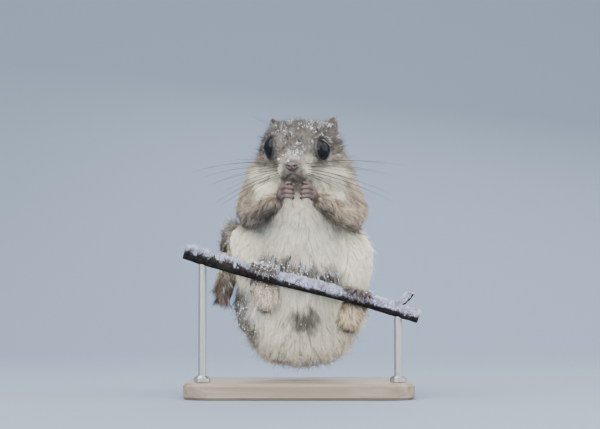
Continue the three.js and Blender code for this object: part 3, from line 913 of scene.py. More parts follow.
def shapeOfHair(p, local, shares, t, across, masks):
    x, y, z = p.T
    hx, hy, hz = local.T
    length, lift, width, density = [sum(coat[part][name] * shares[part] for part in shares)
                                    for name in ("length", "lift", "width", "density")]
    snout = fromSnout(local)
    onHead = smooth(shares["head"], 0.3, 0.7)

    # Short and flat on the snout and round the eyes, long on the cheeks
    grow = rise(snout, 3, 17, 0.30) * (0.42 + 0.58 * smooth(fromEyes(local), 6, 10))
    cheek = smooth(-hz, 3, 9) * smooth(snout, 10, 18)
    length *= 1 + onHead * (grow * (1 + 0.7 * cheek) - 1)
    width *= 1 + onHead * (0.6 + 0.4 * grow - 1)
    lift *= 1 - onHead * 0.3 * fade(snout, 5, 14)

    # Looser over the rump, shorter at its very bottom, smooth on the belly
    rump = (shares["trunk"] + shares["legs"]) * smooth(-z, 8, 26)
    lift *= 1 - 0.35 * masks["white"] * smooth(z, -12, 2)
    length *= 1 + 0.12 * rump
    lift += 14 * rump
    length *= 1 - 0.28 * shares["trunk"] * smooth(-z, 29, 34)
    length *= 1 - 0.1 * (shares["trunk"] * smooth(z, 32, 38))

    # Long at the elbows, short at the wrists
    elbow = shares["arms"] * fade(z, 21, 30) * smooth(np.abs(x), 17, 22)
    length *= 1 + 0.8 * elbow
    lift += 26 * elbow * smooth(-z, -27, -20)
    length *= 1 - 0.45 * shares["arms"] * fade(fromWrist(p), 3, 11)

    # Ruffled at the temples and on the crown, longest along the tail's edges
    temples = onHead * smooth(np.abs(hx), 11, 15) * smooth(snout, 12, 18)
    lift += 18 * temples
    length *= 1 + 0.4 * temples
    length *= (1 + 0.12 * shares["tail"] * (smooth(across, 0.3, 1) - 1)
               - 0.25 * shares["tail"] * fade(t, 0.02, 0.2))
    lift *= 1 + 0.3 * shares["tail"] * fade(across, 0.2, 0.9)
    crown = onHead * smooth(hz, 5, 11)
    length *= 0.85 + 0.3 * ripple(p, 6, 21)
    length *= 1 + 0.15 * crown
    lift += 9 * crown
    return {"length": length, "lift": lift, "width": width, "density": density * (1 - 0.75 * masks["bare"])}


def unwrap(piece):
    editAll(piece, bpy.ops.uv.smart_project, angle_limit=math.radians(66), island_margin=0.002)
    piece.data.uv_layers[0].name = "OFBake"


# What fur grows on: a skin's triangles with everything that hair takes from them.
class Ground:
    def __init__(self, piece, lie, shape, masks):
        mesh = piece.data
        self.place = toMillimetres(readPoints(mesh))
        self.normal = readNormals(mesh)
        self.lie, self.shape, self.masks = lie, shape, masks
        mesh.calc_loop_triangles()
        self.corners = readRows(mesh.loop_triangles, "vertices", 3, np.int32)
        loops = readRows(mesh.loop_triangles, "loops", 3, np.int32)
        self.uv = readRows(mesh.uv_layers["OFBake"].data, "uv", 2)[loops]
        a, b, c = (self.place[self.corners[:, i]] for i in range(3))
        self.area = distance(np.cross(b - a, c - a)) / 2

    # Roots strewn over it, as thick as its density times share.
    def sow(self, share, chance):
        per = self.area * (self.shape["density"] * share)[self.corners].mean(axis=1)
        count = np.floor(per + chance.random(len(per))).astype(int)
        face = np.repeat(np.arange(len(per)), count)
        u, v = chance.random((2, len(face)))
        over = u + v > 1
        u[over], v[over] = 1 - u[over], 1 - v[over]
        weight = columns(1 - u - v, u, v)
        corners = self.corners[face]

        def at(values):
            return np.einsum("nk,nk...->n...", weight, values[corners])

        roots = {"place": at(self.place), "normal": unit(at(self.normal)), "lie": at(self.lie),
                 "uv": np.einsum("nk,nkj->nj", weight, self.uv[face])}
        roots.update({name: at(self.shape[name]) for name in ("length", "lift", "width")})
        roots.update({name: at(values) for name, values in self.masks.items()})
        return roots


skinPlaces = toMillimetres(readPoints(skinPiece.data))
headPlaces = toHead(skinPlaces)
lie, tailShare, tailAcross = lieOfHair(skinPlaces, headPlaces, shares)
masks = markings(skinPlaces, headPlaces, shares, tailShare, tailAcross)
shape = shapeOfHair(skinPlaces, headPlaces, shares, tailShare, tailAcross, masks)
for name, values in masks.items():
    addMask(skinPiece.data, name, values)
print("lie of the hair and markings laid out")

unwrap(skinPiece)
dress(skinPiece, skinMaterial, (*fleshNames, *tailNames))
skinGround = Ground(skinPiece, lie, shape, masks)
print("skin unwrapped")


# A mesh from points in millimetres, all of its faces triangles.
def meshOf(name, points, faces, material, smoothed=True):
    mesh = bpy.data.meshes.new(name)
    mesh.vertices.add(len(points))
    mesh.vertices.foreach_set("co", toMetres(points).astype(np.float32).ravel())
    mesh.loops.add(len(faces) * 3)
    mesh.loops.foreach_set("vertex_index", faces.astype(np.int32).ravel())
    mesh.polygons.add(len(faces))
    mesh.polygons.foreach_set("loop_start", np.arange(0, len(faces) * 3, 3, dtype=np.int32))
    mesh.polygons.foreach_set("use_smooth", np.full(len(faces), smoothed))
    mesh.update()
    mesh.materials.append(material)
    piece = addPiece(name, mesh)
    tellFrame(piece)
    return piece


# The faces of n small forms alike, each with this many points.
def facesOfAll(faces, n, each):
    return (np.arange(n)[:, None, None] * each + np.array(faces)[None]).reshape(-1, 3)


# Fur: thin closed tufts that lie along the body, gathered into locks.

hair = {
    "wander": 0.55,
    "untidy": 0.13,
    # shares of the length, lift and width of the place that single tufts have, and of a lock's pull
    "lengths": (0.72, 1.2),
    "lifts": (0.6, 1.4),
    "widths": (0.7, 1.3),
    "pulls": (0.5, 1.0),
    "strays": 0.07,  # share of tufts that stand out of their lock
    "strayLonger": 0.3,
    "strayLift": 1.1,
    "strayWidth": 0.6,
    "rootDepth": 0.25,
    "thickness": 0.45,  # share of the width
    "mostPull": 0.45,  # share of the length by which a lock may draw a tip aside
    "patch": 0.003,
}
threeSides = ((0, 1), (1, 2), (2, 0))
tufts = {
    "spike": {
        "faces": [[0, 1, 2], *([b, a, 3] for a, b in threeSides)],
        "tip": [0, 0, 0, 1],
        "patch": [(0, 0), (1, 0), (0.5, 0.1), (0.5, 1)],
    },
    "bent": {
        "faces": [[0, 1, 2], *(face for a, b in threeSides
                               for face in ([b, a, a + 3], [b, a + 3, b + 3], [b + 3, a + 3, 6]))],
        "tip": [0, 0, 0, 0.5, 0.5, 0.5, 1],
        "patch": [(0, 0), (1, 0), (0.5, 0.1), (0.1, 0.5), (0.9, 0.5), (0.5, 0.6), (0.5, 1)],
    },
}


# Every root's own lock: the nearest of a few of the roots.
def gather(place, share, chance):
    leaders = chance.choice(len(place), max(1, int(len(place) * share)), replace=False)
    tree = KDTree(len(leaders))
    for i, leader in enumerate(leaders):
        tree.insert(place[leader], int(leader))
    tree.balance()
    return np.array([tree.find(p)[1] for p in place])


# Share is how much of the ground's density grows, lockShare how many tufts lead a lock, hold how
# firmly it draws the others in, shades how much the locks vary, wild how far strays stand out.
def growHair(name, ground, share, seed, form="bent", lockShare=0.06, hold=0.65, outside=None,
             shades=1, wild=1):
    chance = np.random.default_rng(seed)
    roots = ground.sow(share, chance)
    if outside is not None:
        keep = outside(roots["place"])
        roots = {key: values[keep] for key, values in roots.items()}
    place, normal = roots["place"], roots["normal"]
    n = len(place)
    wander = columns(*[ripple(place, 7, seed + k) - 0.5 for k in range(3)])
    way = roots["lie"] + hair["wander"] * wander + chance.normal(scale=hair["untidy"], size=(n, 3))
    way = unit(beside(way, normal))
    stray = chance.random(n) < hair["strays"]
    length = roots["length"] * chance.uniform(*hair["lengths"], n)
    length = (length * np.where(stray, 1 + hair["strayLonger"] * wild, 1))[:, None]
    lift = roots["lift"] * chance.uniform(*hair["lifts"], n)
    lift = np.radians(lift * np.where(stray, 1 + hair["strayLift"] * wild, 1))

    def risen(angle, share):
        return place + share * length * (np.cos(angle)[:, None] * way + np.sin(angle)[:, None] * normal)

    tip, middle = risen(lift, 1), risen(np.minimum(lift * 1.7, 1.2), 0.5)
    leader = gather(place, lockShare, chance)
    shift = (tip[leader] - tip) * hold * (chance.uniform(*hair["pulls"], n) * ~stray)[:, None]
    reach = np.linalg.norm(shift, axis=1, keepdims=True)
    shift *= np.minimum(1, hair["mostPull"] * length / np.maximum(reach, 1e-6))
    tip, middle = tip + shift, middle + 0.4 * shift
    bundle = beside(place - place[leader], way)
    bundle *= 0.75 / np.maximum(np.linalg.norm(bundle, axis=1, keepdims=True), 0.7)
    across = unit(np.cross(way, normal))
    width = roots["width"] * chance.uniform(*hair["widths"], n)
    width = (width * np.where(stray, hair["strayWidth"], 1))[:, None]
    rings = [(place - hair["rootDepth"] * normal, width), (middle, width * 0.8)]
    points, facings = [], []
    for at, w in rings[:1] if form == "spike" else rings:
        points += [at - across * w / 2, at + across * w / 2, at + normal * w * hair["thickness"]]
        facings += [normal + bundle - 0.5 * across, normal + bundle + 0.5 * across, normal + bundle]
    points = np.stack(points + [tip], axis=1)
    facings = unit(np.stack(facings + [normal + 0.25 * way], axis=1))
    each = points.shape[1]
    index = facesOfAll(tufts[form]["faces"], n, each)
    mesh = meshOf(name, points.reshape(-1, 3), index, hairMaterial).data
    mesh.normals_split_custom_set_from_vertices(facings.reshape(-1, 3))
    spots = roots["uv"][:, None, :] + (np.array(tufts[form]["patch"])[None] - 0.5) * hair["patch"]
    spots = np.clip(spots.reshape(-1, 2)[index.ravel()], 0, 1)
    mesh.uv_layers.new(name="OFBake").data.foreach_set("uv", spots.astype(np.float32).ravel())
    addMask(mesh, "tip", np.tile(tufts[form]["tip"], n))
    vary = chance.normal(scale=0.22, size=n)[leader] + chance.normal(scale=0.13, size=n)
    vary = np.clip(0.5 + shades * vary + 0.4 * (ripple(place, 2.4, seed + 9) - 0.5), 0, 1)
    addMask(mesh, "vary", np.repeat(vary, each))
    for mask in ground.masks:
        values = roots[mask]
        if mask == "frost":
            iced = (chance.random(n)[leader] < values * 0.5) * (chance.random(n) < 0.5)
            values = iced * chance.uniform(0.6, 1.0, n)
        addMask(mesh, mask, np.repeat(values, each))
    print(name, n, "tufts", len(index), "triangles")


# True where hair may grow: clear of the open eyes and the bare pad of the nose.
def clearOfEyes(place):
    local = toHead(place)
    keep = distance((local - (0, -23.6, -8.0)) / np.array((2.8, 2.4, 2.2))) > 1
    for side in (-1, 1):
        out = local - eyeCentre(side)
        keep &= ~((distance(out) < 7.5) & (unit(out) @ eyeLook(side) > 0.55))
    return keep


lower = smooth(-skinPlaces[:, 2], -4, 2)
front = fade(skinPlaces[:, 1], 10, 16)
face = fade(headPlaces[:, 1], -6, -3)
trunkAll = shares["trunk"] + shares["legs"] + shares["membranes"]
faceHair = {"form": "spike", "lockShare": 0.035, "hold": 0.3, "outside": clearOfEyes, "shades": 2.2}
for name, side, seed in (
    ("Right", skinPlaces[:, 0] < bodyMiddle, 110), ("Left", skinPlaces[:, 0] >= bodyMiddle, 111),
):
    growHair("furFace" + name, skinGround, 2.1 * shares["head"] * face * side, seed, **faceHair)
    upperSide = trunkAll * (1 - lower) * side
    growHair("furBelly" + name, skinGround, upperSide * front, seed + 10, shades=0.5, wild=0.7)
    growHair("furBack" + name, skinGround, upperSide * (1 - front), seed + 20)
    growHair("furRump" + name, skinGround, trunkAll * lower * side, seed + 30)
crownHair = {"form": "spike", "lockShare": 0.04, "hold": 0.4, "outside": clearOfEyes, "shades": 2}
growHair("furCrown", skinGround, 1.5 * shares["head"] * (1 - face), 12, **crownHair)
growHair("furEars", skinGround, 1.6 * shares["ears"], 13, "spike", 0.12, 0.2)
growHair("furArms", skinGround, shares["arms"], 17, lockShare=0.09, shades=1.9)
growHair("furTail", skinGround, shares["tail"], 18, lockShare=0.03, hold=0.7, wild=0.4)

# Ice grains caught in the tips of the fur

ice = {
    "size": (0.10, 0.40),
    "stretch": (0.5, 1.5),
    "flatness": 0.6,
    "heights": (0.6, 1.15),  # shares of the height asked for
    "aside": 0.5,  # along the hair from its root
    "colour": (0.84, 0.87, 0.93),
    "shade": (0.62, 0.66, 0.76),
}


# perArea is how many grains lie on a square millimetre, height how far over the skin they are.
def strewIce(name, ground, perArea, height, seed, c):
    chance = np.random.default_rng(seed)
    roots = ground.sow(perArea / np.maximum(ground.shape["density"], 0.1), chance)
    n = len(roots["place"])
    way = unit(beside(roots["lie"], roots["normal"]))
    over = (height * chance.uniform(*c["heights"], n))[:, None]
    at = roots["place"] + roots["normal"] * over + way * c["aside"]
    first = unit(chance.normal(size=(n, 3)))
    second = unit(np.cross(first, chance.normal(size=(n, 3))))
    third = np.cross(first, second)
    size = chance.uniform(*c["size"], n)[:, None]
    stretch = chance.uniform(*c["stretch"], (n, 3))
    axes = [axis * stretch[:, k:k + 1] * size for k, axis in enumerate((first, second, third))]
    axes[2] *= c["flatness"]
    points = np.stack([at + step for axis in axes for step in (axis, -axis)], axis=1)
    faces = [[a, b, d] if (a + b + d) % 2 == 0 else [a, d, b]
             for a in (0, 1) for b in (2, 3) for d in (4, 5)]
    meshOf(name, points.reshape(-1, 3), facesOfAll(faces, n, 6), iceGrain, smoothed=False)
    print(name, n, "grains")


iceGrain = twoTone("iceGrain", 0.3, ice["shade"], ice["colour"], 500, 2, (0.35, 0.65))
frosty = masks["frost"]
strewIce("iceOnHead", skinGround, 1.6 * shares["head"] * frosty ** 1.5, 1.1, 71, ice)
strewIce("iceOnBody", skinGround, (0.7 * trunkAll + 0.9 * shares["tail"]) * frosty, 2.7, 72, ice)
fringe = (trunkAll * smooth(-skinPlaces[:, 2], 25, 31)
          + 0.5 * smooth(-skinPlaces[:, 2], 8, 20) * (shares["legs"] + shares["membranes"]))
strewIce("iceOnRump", skinGround, 1.5 * fringe * fade(skinPlaces[:, 1], 26, 36), 3.6, 73, ice)
print("ice strewn")

# Paws: fine skin of their own, with short hair on the wrists and the soles

paws = {
    "cell": 0.00026,
    "skin": (0.080, 0.047, 0.044),
    "toes": (0.105, 0.078, 0.072),
    "crease": (0.070, 0.046, 0.043),
    "feetBelow": 22,
    "toePlaces": (-15.6, 25.6),
    "hair": {"sole": 3.2, "toe": 2.3, "hand": 1.1, "lift": 24, "width": 0.17, "density": 16},
}
pawNodes = ("hand_left", "hand_right", "foot_left", "foot_right")


def pawMaterial(c):
    material = plainMaterial("pawSkin", c["skin"], 0.55)
    tree = material.node_tree
    creases = grain(tree, 700, 4, 0.35, 0.6)
    colour = mixColours(tree, grain(tree, 180, 2, 0.35, 0.65), tinted(c["skin"], 0.75), c["skin"])
    colour = mixColours(tree, attribute(tree, "foot"), colour, c["toes"])
    setLook(material, {"Base Color": mixColours(tree, creases, c["crease"], colour)})
    addBump(material, grain(tree, 1300, 3), 0.6, 0.00025)
    return material


def makePaws(c):
    piece = cast(pawNodes, "paws")
    remesh(piece, c["cell"])
    smoothOut(piece, 6)
    unwrap(piece)
    dress(piece, pawMaterial(c), pawNodes)
    place = toMillimetres(readPoints(piece.data))
    normal = readNormals(piece.data)
    x, y, z = place.T
    none = np.zeros(len(place))
    onFoot = z < c["feetBelow"]
    foot = onFoot.astype(float)
    addMask(piece.data, "foot", foot)
    below = z - branchHeight(x)
    sole = foot * smooth(-below, 1.5, 4)
    heelSpot = foot * smooth(-below, 11.2, 13.2)
    knuckles = (1 - foot) * smooth(normal[:, 2], 0.0, 0.6)
    aside = np.sign(x)
    lie = np.where(onFoot[:, None], columns(0.15 * aside, 0, -1), columns(-0.8 * aside, -0.5, 0.2))
    fine = ripple(place, 3, 41) - 0.5
    pale = np.clip((0.25 - 0.22 * (x > 0)) * sole + (0.6 - 0.4 * (x > 0)) * fine * sole, 0, 1)
    masks = {
        "white": pale + 0.06 * (1 - foot), "brown": none, "dark": 0.85 * heelSpot, "cream": 0.95 * sole,
        "tail": none, "frost": sole * (0.06 + 0.69 * (x < 0)) * ripple(place, 4, 43), "bare": none,
    }
    grown = (sole + 0.45 * foot * smooth(y, -10.5, -7.5) + 0.15 * foot
             + 0.6 * (1 - foot) * smooth(y, -27, -22) + 0.25 * knuckles)
    fuzz = c["hair"]
    shape = {
        "length": np.where(onFoot, fuzz["toe"] + (fuzz["sole"] - fuzz["toe"]) * sole, fuzz["hand"]),
        "lift": fuzz["lift"] + none, "width": fuzz["width"] + none,
        "density": fuzz["density"] * np.clip(grown, 0, 1),
    }
    ground = Ground(piece, lie, shape, masks)
    growHair("furPaws", ground, 1 + none, 31, "spike", 0.12, 0.35, shades=1.6)
    onSoles = 0.08 + 0.17 * (x < 0) + 1.1 * sole * (x < 0) * smooth(ripple(place, 3, 44), 0.3, 0.6)
    onToes = 3.0 * (x < 0) * smooth(below, 1, 3)
    strewIce("iceOnFeet", ground, foot * (onSoles + onToes), 1.6, 74, ice)


makePaws(paws)
print("paws made")

# Claws: the nodes' own forms, rounded

claw = {"dark": (0.035, 0.028, 0.026), "pale": (0.20, 0.155, 0.125), "swell": 0.08}


def makeClaws(c):
    names = [name for name in nodes if name.startswith("claw_")]
    piece = cast(names, "claws")
    applyModifier(piece, "SUBSURF", levels=2, render_levels=2)
    swell(piece, c["swell"])
    horn = twoTone("clawHorn", 0.3, c["dark"], c["pale"], 1100, 2, (0.35, 0.65), (2400, 2, 0.3, 0.0001))
    dress(piece, horn, names)


makeClaws(claw)
print("claws made")

# Eyes: glossy dark balls whose clear front stands out a little, in dark lids with two corners

eyeFinish = {
    "dark": (0.006, 0.007, 0.009),
    "iris": (0.022, 0.014, 0.010),
    "gap": 0.05,  # how much smaller the ball is than the solid's
    "cornea": 0.35,
    "corneaAngles": (0.25, 0.95),
    "irisRing": (0.62, 0.80),
}
lids = {
    "rim": 57,  # degrees from the middle of the eye
    "narrow": 2.2,  # degrees less before and behind, more above and below
    "corner": 8,
    "cornerTurns": (20, 196),  # from the top towards the nose
    "cornerSpan": 0.30,
    "thickness": 0.46,
    "cornerThickness": 1.0,
    "over": 0.12,
    "steps": 96,
    "sides": 10,
    "skin": (0.012, 0.010, 0.010),
}


def eyeDirections(side):
    look = eyeLook(side)
    up = unit(beside(np.array((0, 0, 1.0)), look))
    fore = np.cross(up, look)
    return look, up, -fore if fore[1] > 0 else fore


def eyeMaterial(c):
    material = plainMaterial("eyeGloss", c["dark"], 0.08)
    tree = material.node_tree
    iris = mixColours(tree, grain(tree, 600, 3, 0.3, 0.7), c["iris"], tinted(c["iris"], 1.7))
    colour = mixColours(tree, spread(tree, attribute(tree, "fromPupil"), *c["irisRing"]), c["dark"], iris)
    setLook(material, {"Base Color": colour, "Specular IOR Level": 0.12})
    return material


def makeEye(side, name, material, c):
    eye, ball = makeBall(64, 40, "eyeball_" + name)
    look, up, fore = eyeDirections(side)
    angle = np.arccos(np.clip(ball[:, 2], -1, 1))
    reach = eyes["radius"] - c["gap"] + c["cornea"] * fade(angle, *c["corneaAngles"])
    spot = eyeCentre(side) + reach[:, None] * (ball[:, 2:] * look + ball[:, :1] * up + ball[:, 1:2] * fore)
    writePoints(eye.data, toMetres(fromHead(spot)))
    addMask(eye.data, "fromPupil", angle / 1.2)
    faceOutward(eye)
    dress(eye, material, ("eye_" + name,))


# Rings of points round each of a line's points, from two directions across it and half widths in both.
def ringsRound(line, first, second, halfFirst, halfSecond, sides):
    turn = np.linspace(0, 2 * math.pi, sides, endpoint=False)
    return (line[:, None] + first[:, None] * (halfFirst[:, None] * np.cos(turn))[..., None]
            + second[:, None] * (halfSecond[:, None] * np.sin(turn))[..., None]).reshape(-1, 3)


# Faces of a tube of n rings; a closed one runs round to its own beginning.
def tubeFaces(n, sides, closed):
    i = np.arange(n if closed else n - 1)[:, None] * sides
    j = (i + sides) % (n * sides)
    k = np.arange(sides)[None]
    a, b, c, d = i + k, i + (k + 1) % sides, j + (k + 1) % sides, j + k
    return np.concatenate((columns(a, b, c).reshape(-1, 3), columns(a, c, d).reshape(-1, 3)))


# One mesh of several forms, each a pair of points and faces.
def meshOfForms(name, forms, material):
    starts = np.cumsum([0] + [len(points) for points, faces in forms])
    faces = np.vstack([faces + start for (points, faces), start in zip(forms, starts)])
    faceOutward(meshOf(name, np.vstack([points for points, faces in forms]), faces, material))


def makeLids(c):
    forms = []
    turn = np.linspace(0, 2 * math.pi, c["steps"], endpoint=False)
    corner = np.zeros(c["steps"])
    for at in c["cornerTurns"]:
        off = np.abs((turn - math.radians(at) + math.pi) % (2 * math.pi) - math.pi)
        corner = np.maximum(corner, np.exp(-(off / c["cornerSpan"]) ** 2))
    angle = np.radians(c["rim"] + c["narrow"] * np.cos(2 * turn) + c["corner"] * corner)
    wide = c["thickness"] * (1.25 - 0.35 * np.cos(2 * turn)) + c["cornerThickness"] * corner
    thick = c["thickness"] * (0.95 - 0.25 * corner)
    for side in (-1, 1):
        look, up, fore = eyeDirections(side)
        around = np.cos(turn)[:, None] * up + np.sin(turn)[:, None] * fore
        out = np.cos(angle)[:, None] * look + np.sin(angle)[:, None] * around
        along = unit(-np.sin(angle)[:, None] * look + np.cos(angle)[:, None] * around)
        middle = fromHead(eyeCentre(side) + out * (eyes["radius"] + c["over"]))
        along, out = turned(along, -head["turn"]), turned(out, -head["turn"])
        points = ringsRound(middle, along, out, wide, thick, c["sides"])
        forms.append((points, tubeFaces(c["steps"], c["sides"], True)))
    lidSkin = twoTone("lidSkin", 0.4, c["skin"], tinted(c["skin"], 3), 1600, 3, bump=(1600, 3, 0.6, 0.0002))
    meshOfForms("lids", forms, lidSkin)


eyeGloss = eyeMaterial(eyeFinish)
makeEye(-1, "right", eyeGloss, eyeFinish)
makeEye(1, "left", eyeGloss, eyeFinish)
makeLids(lids)
print("eyes and lids made")

# Nose: a bare pad with two nostrils and a groove between them

nose = {
    "centre": np.array((0, -23.7, -8.0)),
    "size": np.array((2.85, 1.8, 2.1)),
    "widerAbove": 0.16,
    # how far out from the middle and up, and half sizes
    "nostril": (1.25, -0.15, 0.42, 0.38),
    "slit": (1.85, 0.15, 0.5, 0.2),
    "wing": (1.35, 0.45, 0.75, 0.5),
    "skin": (0.080, 0.055, 0.049),
    "dark": (0.022, 0.018, 0.017),
}


def noseMaterial(c):
    material = plainMaterial("noseSkin", c["skin"], 0.38)
    tree = material.node_tree
    pebbles = nodeAt(tree, "ShaderNodeTexVoronoi", Scale=3200)
    tree.links.new(objectPlace(tree), pebbles.inputs["Vector"])
    colour = mixColours(tree, grain(tree, 500, 3, 0.3, 0.7), tinted(c["skin"], 0.6), c["skin"])
    # Painted shade: the nostrils and the groove between them are painted dark.
    setLook(material, {"Base Color": mixColours(tree, attribute(tree, "shadedPit"), colour, c["dark"])})
    addBump(material, pebbles.outputs["Distance"], 0.5, 0.00012)
    return material


def makeNose(c):
    piece, ball = makeBall(96, 64, "nosePad")
    spot = ball * c["size"]
    spot[:, 0] *= 1 + c["widerAbove"] * ball[:, 2]
    out, up = np.abs(spot[:, 0]), spot[:, 2]
    frontness = smooth(-ball[:, 1], 0.1, 0.6)

    def around(name):
        atOut, atUp, halfOut, halfUp = c[name]
        return np.exp(-((out - atOut) / halfOut) ** 2 - ((up - atUp) / halfUp) ** 2)

    # Dents for the nostrils and the groove, which are also painted dark as the shade inside them.
    shadedPit = frontness * np.maximum(around("nostril"), 0.8 * around("slit"))
    groove = frontness * np.exp(-(spot[:, 0] / 0.2) ** 2) * smooth(-up, -0.6, 0.6)
    spot[:, 1] += 0.75 * shadedPit - 0.28 * (frontness * around("wing")) + 0.35 * groove
    addMask(piece.data, "shadedPit", np.clip(1.3 * shadedPit + 0.4 * groove, 0, 1))
    writePoints(piece.data, toMetres(fromHead(spot + c["centre"])))
    dress(piece, noseMaterial(c), ("nose",))


makeNose(nose)

# Whiskers: long dark tapered hairs from the sides of the snout, and a few over the eyes

whiskers = {
    "perSide": 15,
    "rows": 5,
    "root": np.array((4.6, -20.6, -6.6)),
    "nextColumn": np.array((0.9, 2.1, 0)),
    "nextRow": np.array((0, 0, -1.15)),
    "length": (17, 52),
    "overEyes": 4,
    "browRoot": np.array((6.4, -13.6, 7.0)),
    "nextBrow": np.array((0.7, 1.1, 0.5)),
    "halfWidth": 0.145,
    "sides": 5,
    "colour": (0.016, 0.014, 0.014),
    "seed": 5,
}


# A hair round a line, closed at the root and pointed at the end.
def taperedTube(line, halfWidth, sides):
    along = unit(np.gradient(line, axis=0))
    first = unit(np.cross(along, np.array((0.2, 0.1, 1.0))))
    second = np.cross(along, first)
    n = len(line) - 1
    rings = ringsRound(line[:-1], first[:-1], second[:-1], halfWidth[:-1], halfWidth[:-1], sides)
    k = np.arange(sides)
    last = (n - 1) * sides
    beyond = (k + 1) % sides
    point, root = columns(last + k, last + beyond, n * sides), columns(beyond, k, n * sides + 1)
    return np.vstack((rings, line[-1:], line[:1])), np.vstack((tubeFaces(n, sides, False), point, root))


def makeWhiskers(c):
    chance = np.random.default_rng(c["seed"])
    forms = []
    shortest, longest = c["length"]

    def addHair(root, aim, length, sag, steps, halfWidth, taper):
        t = np.linspace(0, 1, steps)[:, None]
        line = root + aim * length * t + sag * t * t
        forms.append(taperedTube(fromHead(line), halfWidth * (1 - taper * t[:, 0]), c["sides"]))

    for side in (-1, 1):
        mirror = (side, 1, 1)
        for i in range(c["perSide"]):
            column, row = divmod(i, c["rows"])
            root = (c["root"] + column * c["nextColumn"] + row * c["nextRow"]) * mirror
            root = root + chance.normal(scale=0.25, size=3)
            share = 0.25 + 0.75 * ((i + 1) / c["perSide"])
            length = shortest + (longest - shortest) * share * chance.uniform(0.75, 1.08)
            length *= 1 - 0.09 * row
            rising = 0.18 - 0.12 * row + chance.normal(scale=0.07)
            aim = unit(np.array((side, 0.10 + 0.125 * column, rising)))
            sag = np.array((0, 0.10 * length, -0.17 * length))
            addHair(root, aim, length, sag, 12, c["halfWidth"], 0.85)
        for k in range(c["overEyes"]):
            root = (c["browRoot"] + k * c["nextBrow"]) * mirror
            aim = unit(np.array((side * (0.55 + 0.2 * k), -0.35, 0.8)))
            sag = np.array((side * 1.5, 2.5, 0))
            addHair(root, aim, 9 + 1.5 * k, sag, 8, 0.75 * c["halfWidth"], 0.8)
    dark = twoTone("whiskerHair", 0.45, c["colour"], tinted(c["colour"], 2.5), 300, 2)
    meshOfForms("whiskers", forms, dark)


makeWhiskers(whiskers)
print("nose and whiskers made")

# Perch: dark bark with a crust of rime along its upper side

perch = {
    "cell": 0.00036,
    "way": (1, 0, -0.26),
    "cutEnds": (-48.5, 50.5),
    "rimeFrom": (0, -0.42, 0.9),  # the side that the rime lies on
    "bark": (0.005, 0.0045, 0.005),
    "barkLight": (0.022, 0.018, 0.016),
    "cutWood": (0.33, 0.24, 0.16),
    "rime": (0.62, 0.65, 0.78),
    "rimeShade": (0.22, 0.21, 0.30),
    "crystals": 8000,
    "untidy": 0.28,
    "length": (0.35, 1.2),
    "width": (0.16, 0.30),
    "seed": 23,
}
perchNodes = ("perch_branch", "perch_twig")


def perchMaterial(c):
    material = plainMaterial("rimedBark", c["bark"], 0.8)
    tree = material.node_tree
    colour = mixColours(tree, grain(tree, 420, 5, 0.35, 0.7), c["bark"], c["barkLight"])
    wood = mixColours(tree, grain(tree, 900, 2), tinted(c["cutWood"], 0.6), c["cutWood"])
    colour = mixColours(tree, attribute(tree, "cut"), colour, wood)
    speckle = grain(tree, 1500, 4, 0.42, 0.58)
    patchy = spread(tree, speckle, 0.0, 1.0, 0.45, 1.0)
    cover = calculate(tree, "MULTIPLY", attribute(tree, "rimed"), patchy)
    colour = mixColours(tree, cover, colour, mixColours(tree, speckle, c["rimeShade"], c["rime"]))
    setLook(material, {"Base Color": colour, "Specular IOR Level": 0.1})
    addBump(material, grain(tree, 1100, 5), 0.8, 0.0004)
    return material


def rimeMaterial(c):
    material = twoTone("rimeCrystal", 0.35, c["rimeShade"], c["rime"], 400, 2, (0.3, 0.7))
    setLook(material, {"Subsurface Weight": 0.3})
    shaderOf(material).inputs["Subsurface Radius"].default_value = (0.001, 0.001, 0.0012)
    return material


def fromToes(x):
    return np.min([np.abs(x - at) for at in paws["toePlaces"]], axis=0)


# Needles of ice, each with three sides and a belt below its tip.
def growRime(c, place, normal, likely):
    chance = np.random.default_rng(c["seed"])
    roots = chance.choice(len(place), c["crystals"], p=likely / likely.sum())
    at, out = place[roots], normal[roots]
    n = len(roots)
    up = np.array((0, -0.25, 1.0))
    way = unit(out * 0.6 + up * 0.7 + chance.normal(scale=c["untidy"], size=(n, 3)))
    # Longer in patches and towards its right end, shorter near the toes
    length = chance.uniform(*c["length"], n) * (0.6 + 0.9 * ripple(at, 5, 61))
    length = length * (1 + 0.8 * (at[:, 0] < -22)) * np.where(fromToes(at[:, 0]) < 7.5, 0.5, 1)
    across = unit(np.cross(way, chance.normal(size=(n, 3))))
    other = np.cross(way, across)
    wide = (length * chance.uniform(*c["width"], n))[:, None]
    base = at + out * 0.1
    middle = base + way * (0.45 * length)[:, None]
    points = []
    for centre, first, back, aside in ((base, 0.4, 0.3, 0.4), (middle, 1, 0.5, 0.6)):
        points += [centre + across * wide * first, centre - across * wide * back + other * wide * aside,
                   centre - across * wide * back - other * wide * aside]
    points = np.stack(points + [base + way * length[:, None]], axis=1)
    faces = [[2, 1, 0]]
    for a, b in threeSides:
        faces += [[a, b, a + 3], [b, b + 3, a + 3], [a + 3, b + 3, 6]]
    meshOf("rime", points.reshape(-1, 3), facesOfAll(faces, n, 7), rimeMaterial(c), smoothed=False)


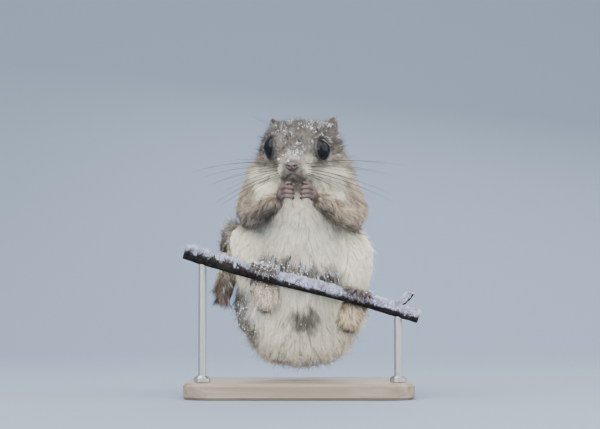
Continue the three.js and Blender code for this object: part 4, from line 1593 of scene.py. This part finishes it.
def makePerch(c):
    piece = cast(perchNodes, "perch")
    remesh(piece, c["cell"])
    smoothOut(piece, 10)
    points = readPoints(piece.data)
    normal = readNormals(piece.data)
    place = toMillimetres(points)
    x, y, z = place.T
    slope = unit(np.array(c["way"]))
    left, right = c["cutEnds"]
    cut = smooth(np.abs(normal @ slope), 0.75, 0.95) * ((x < left) | (x > right))
    squeezed = place - 0.82 * (place @ slope)[:, None] * slope
    ridges = ripple(squeezed * np.array((1, 2.2, 2.2)), 3.0, 51)
    facing = normal @ unit(np.array(c["rimeFrom"]))
    patches = ripple(place, 7, 53) * 0.4 + ripple(place, 2.4, 54) * 0.35 + ripple(place, 0.9, 55) * 0.25
    upper = smooth(facing - 0.55 * fade(x, -30, -6) - 0.9 * (patches - 0.5), 0.0, 0.7)
    rimed = upper * (1 - cut)
    lift = 0.30 * (ridges - 0.5) * (1 - cut) + rimed * (0.10 + 0.35 * ripple(place, 1.1, 57))
    underToes = fromToes(x) < 6.8
    lift = np.where(underToes, np.minimum(lift, 0.05), lift)
    points += normal * (lift / 1000)[:, None]
    writePoints(piece.data, points)
    addMask(piece.data, "cut", cut)
    addMask(piece.data, "rimed", np.where(underToes, 0.4 * rimed, rimed))
    dress(piece, perchMaterial(c), perchNodes)
    growRime(c, place, normal, rimed ** 2 * np.where(underToes, 0.15, 1))


makePerch(perch)
print("perch made")

# Stand: the solids as they are, in oiled wood and brushed steel

stand = {
    "wood": (0.27, 0.22, 0.17),
    "woodDark": (0.17, 0.13, 0.095),
    "steel": (0.46, 0.46, 0.47),
    "roundedTo": 32,  # degrees up to which an edge is shaded smooth
}


def finishStand(c):
    wood = plainMaterial("oiledWood", c["wood"], 0.5)
    tree = wood.node_tree
    rings = grain(tree, 3.2, 6, roughness=0.5, distortion=0.6, stretch=(6, 70, 70))
    setLook(wood, {
        "Base Color": mixColours(tree, spread(tree, rings, 0.35, 0.65), c["woodDark"], c["wood"]),
        "Roughness": spread(tree, rings, 0.3, 0.7, 0.6, 0.42),
    })
    addBump(wood, rings, 0.25, 0.0003)
    steel = plainMaterial("brushedSteel", c["steel"], 0.35)
    tree = steel.node_tree
    brushed = grain(tree, 1, 3, roughness=0.5, stretch=(400, 400, 6000))
    setLook(steel, {
        "Base Color": mixColours(tree, brushed, tinted(c["steel"], 0.85), c["steel"]),
        "Roughness": spread(tree, brushed, 0.3, 0.7, 0.28, 0.45),
        "Metallic": 1.0,
    })
    for name, material in (("stand_base", wood), ("stand_rod_right", steel), ("stand_rod_left", steel)):
        piece = nodes[name]
        for slot in piece.material_slots:
            slot.link = "OBJECT"
            slot.material = material
        makeActive(piece)
        bpy.ops.object.shade_smooth_by_angle(angle=math.radians(c["roundedTo"]))


finishStand(stand)
print("stand finished")
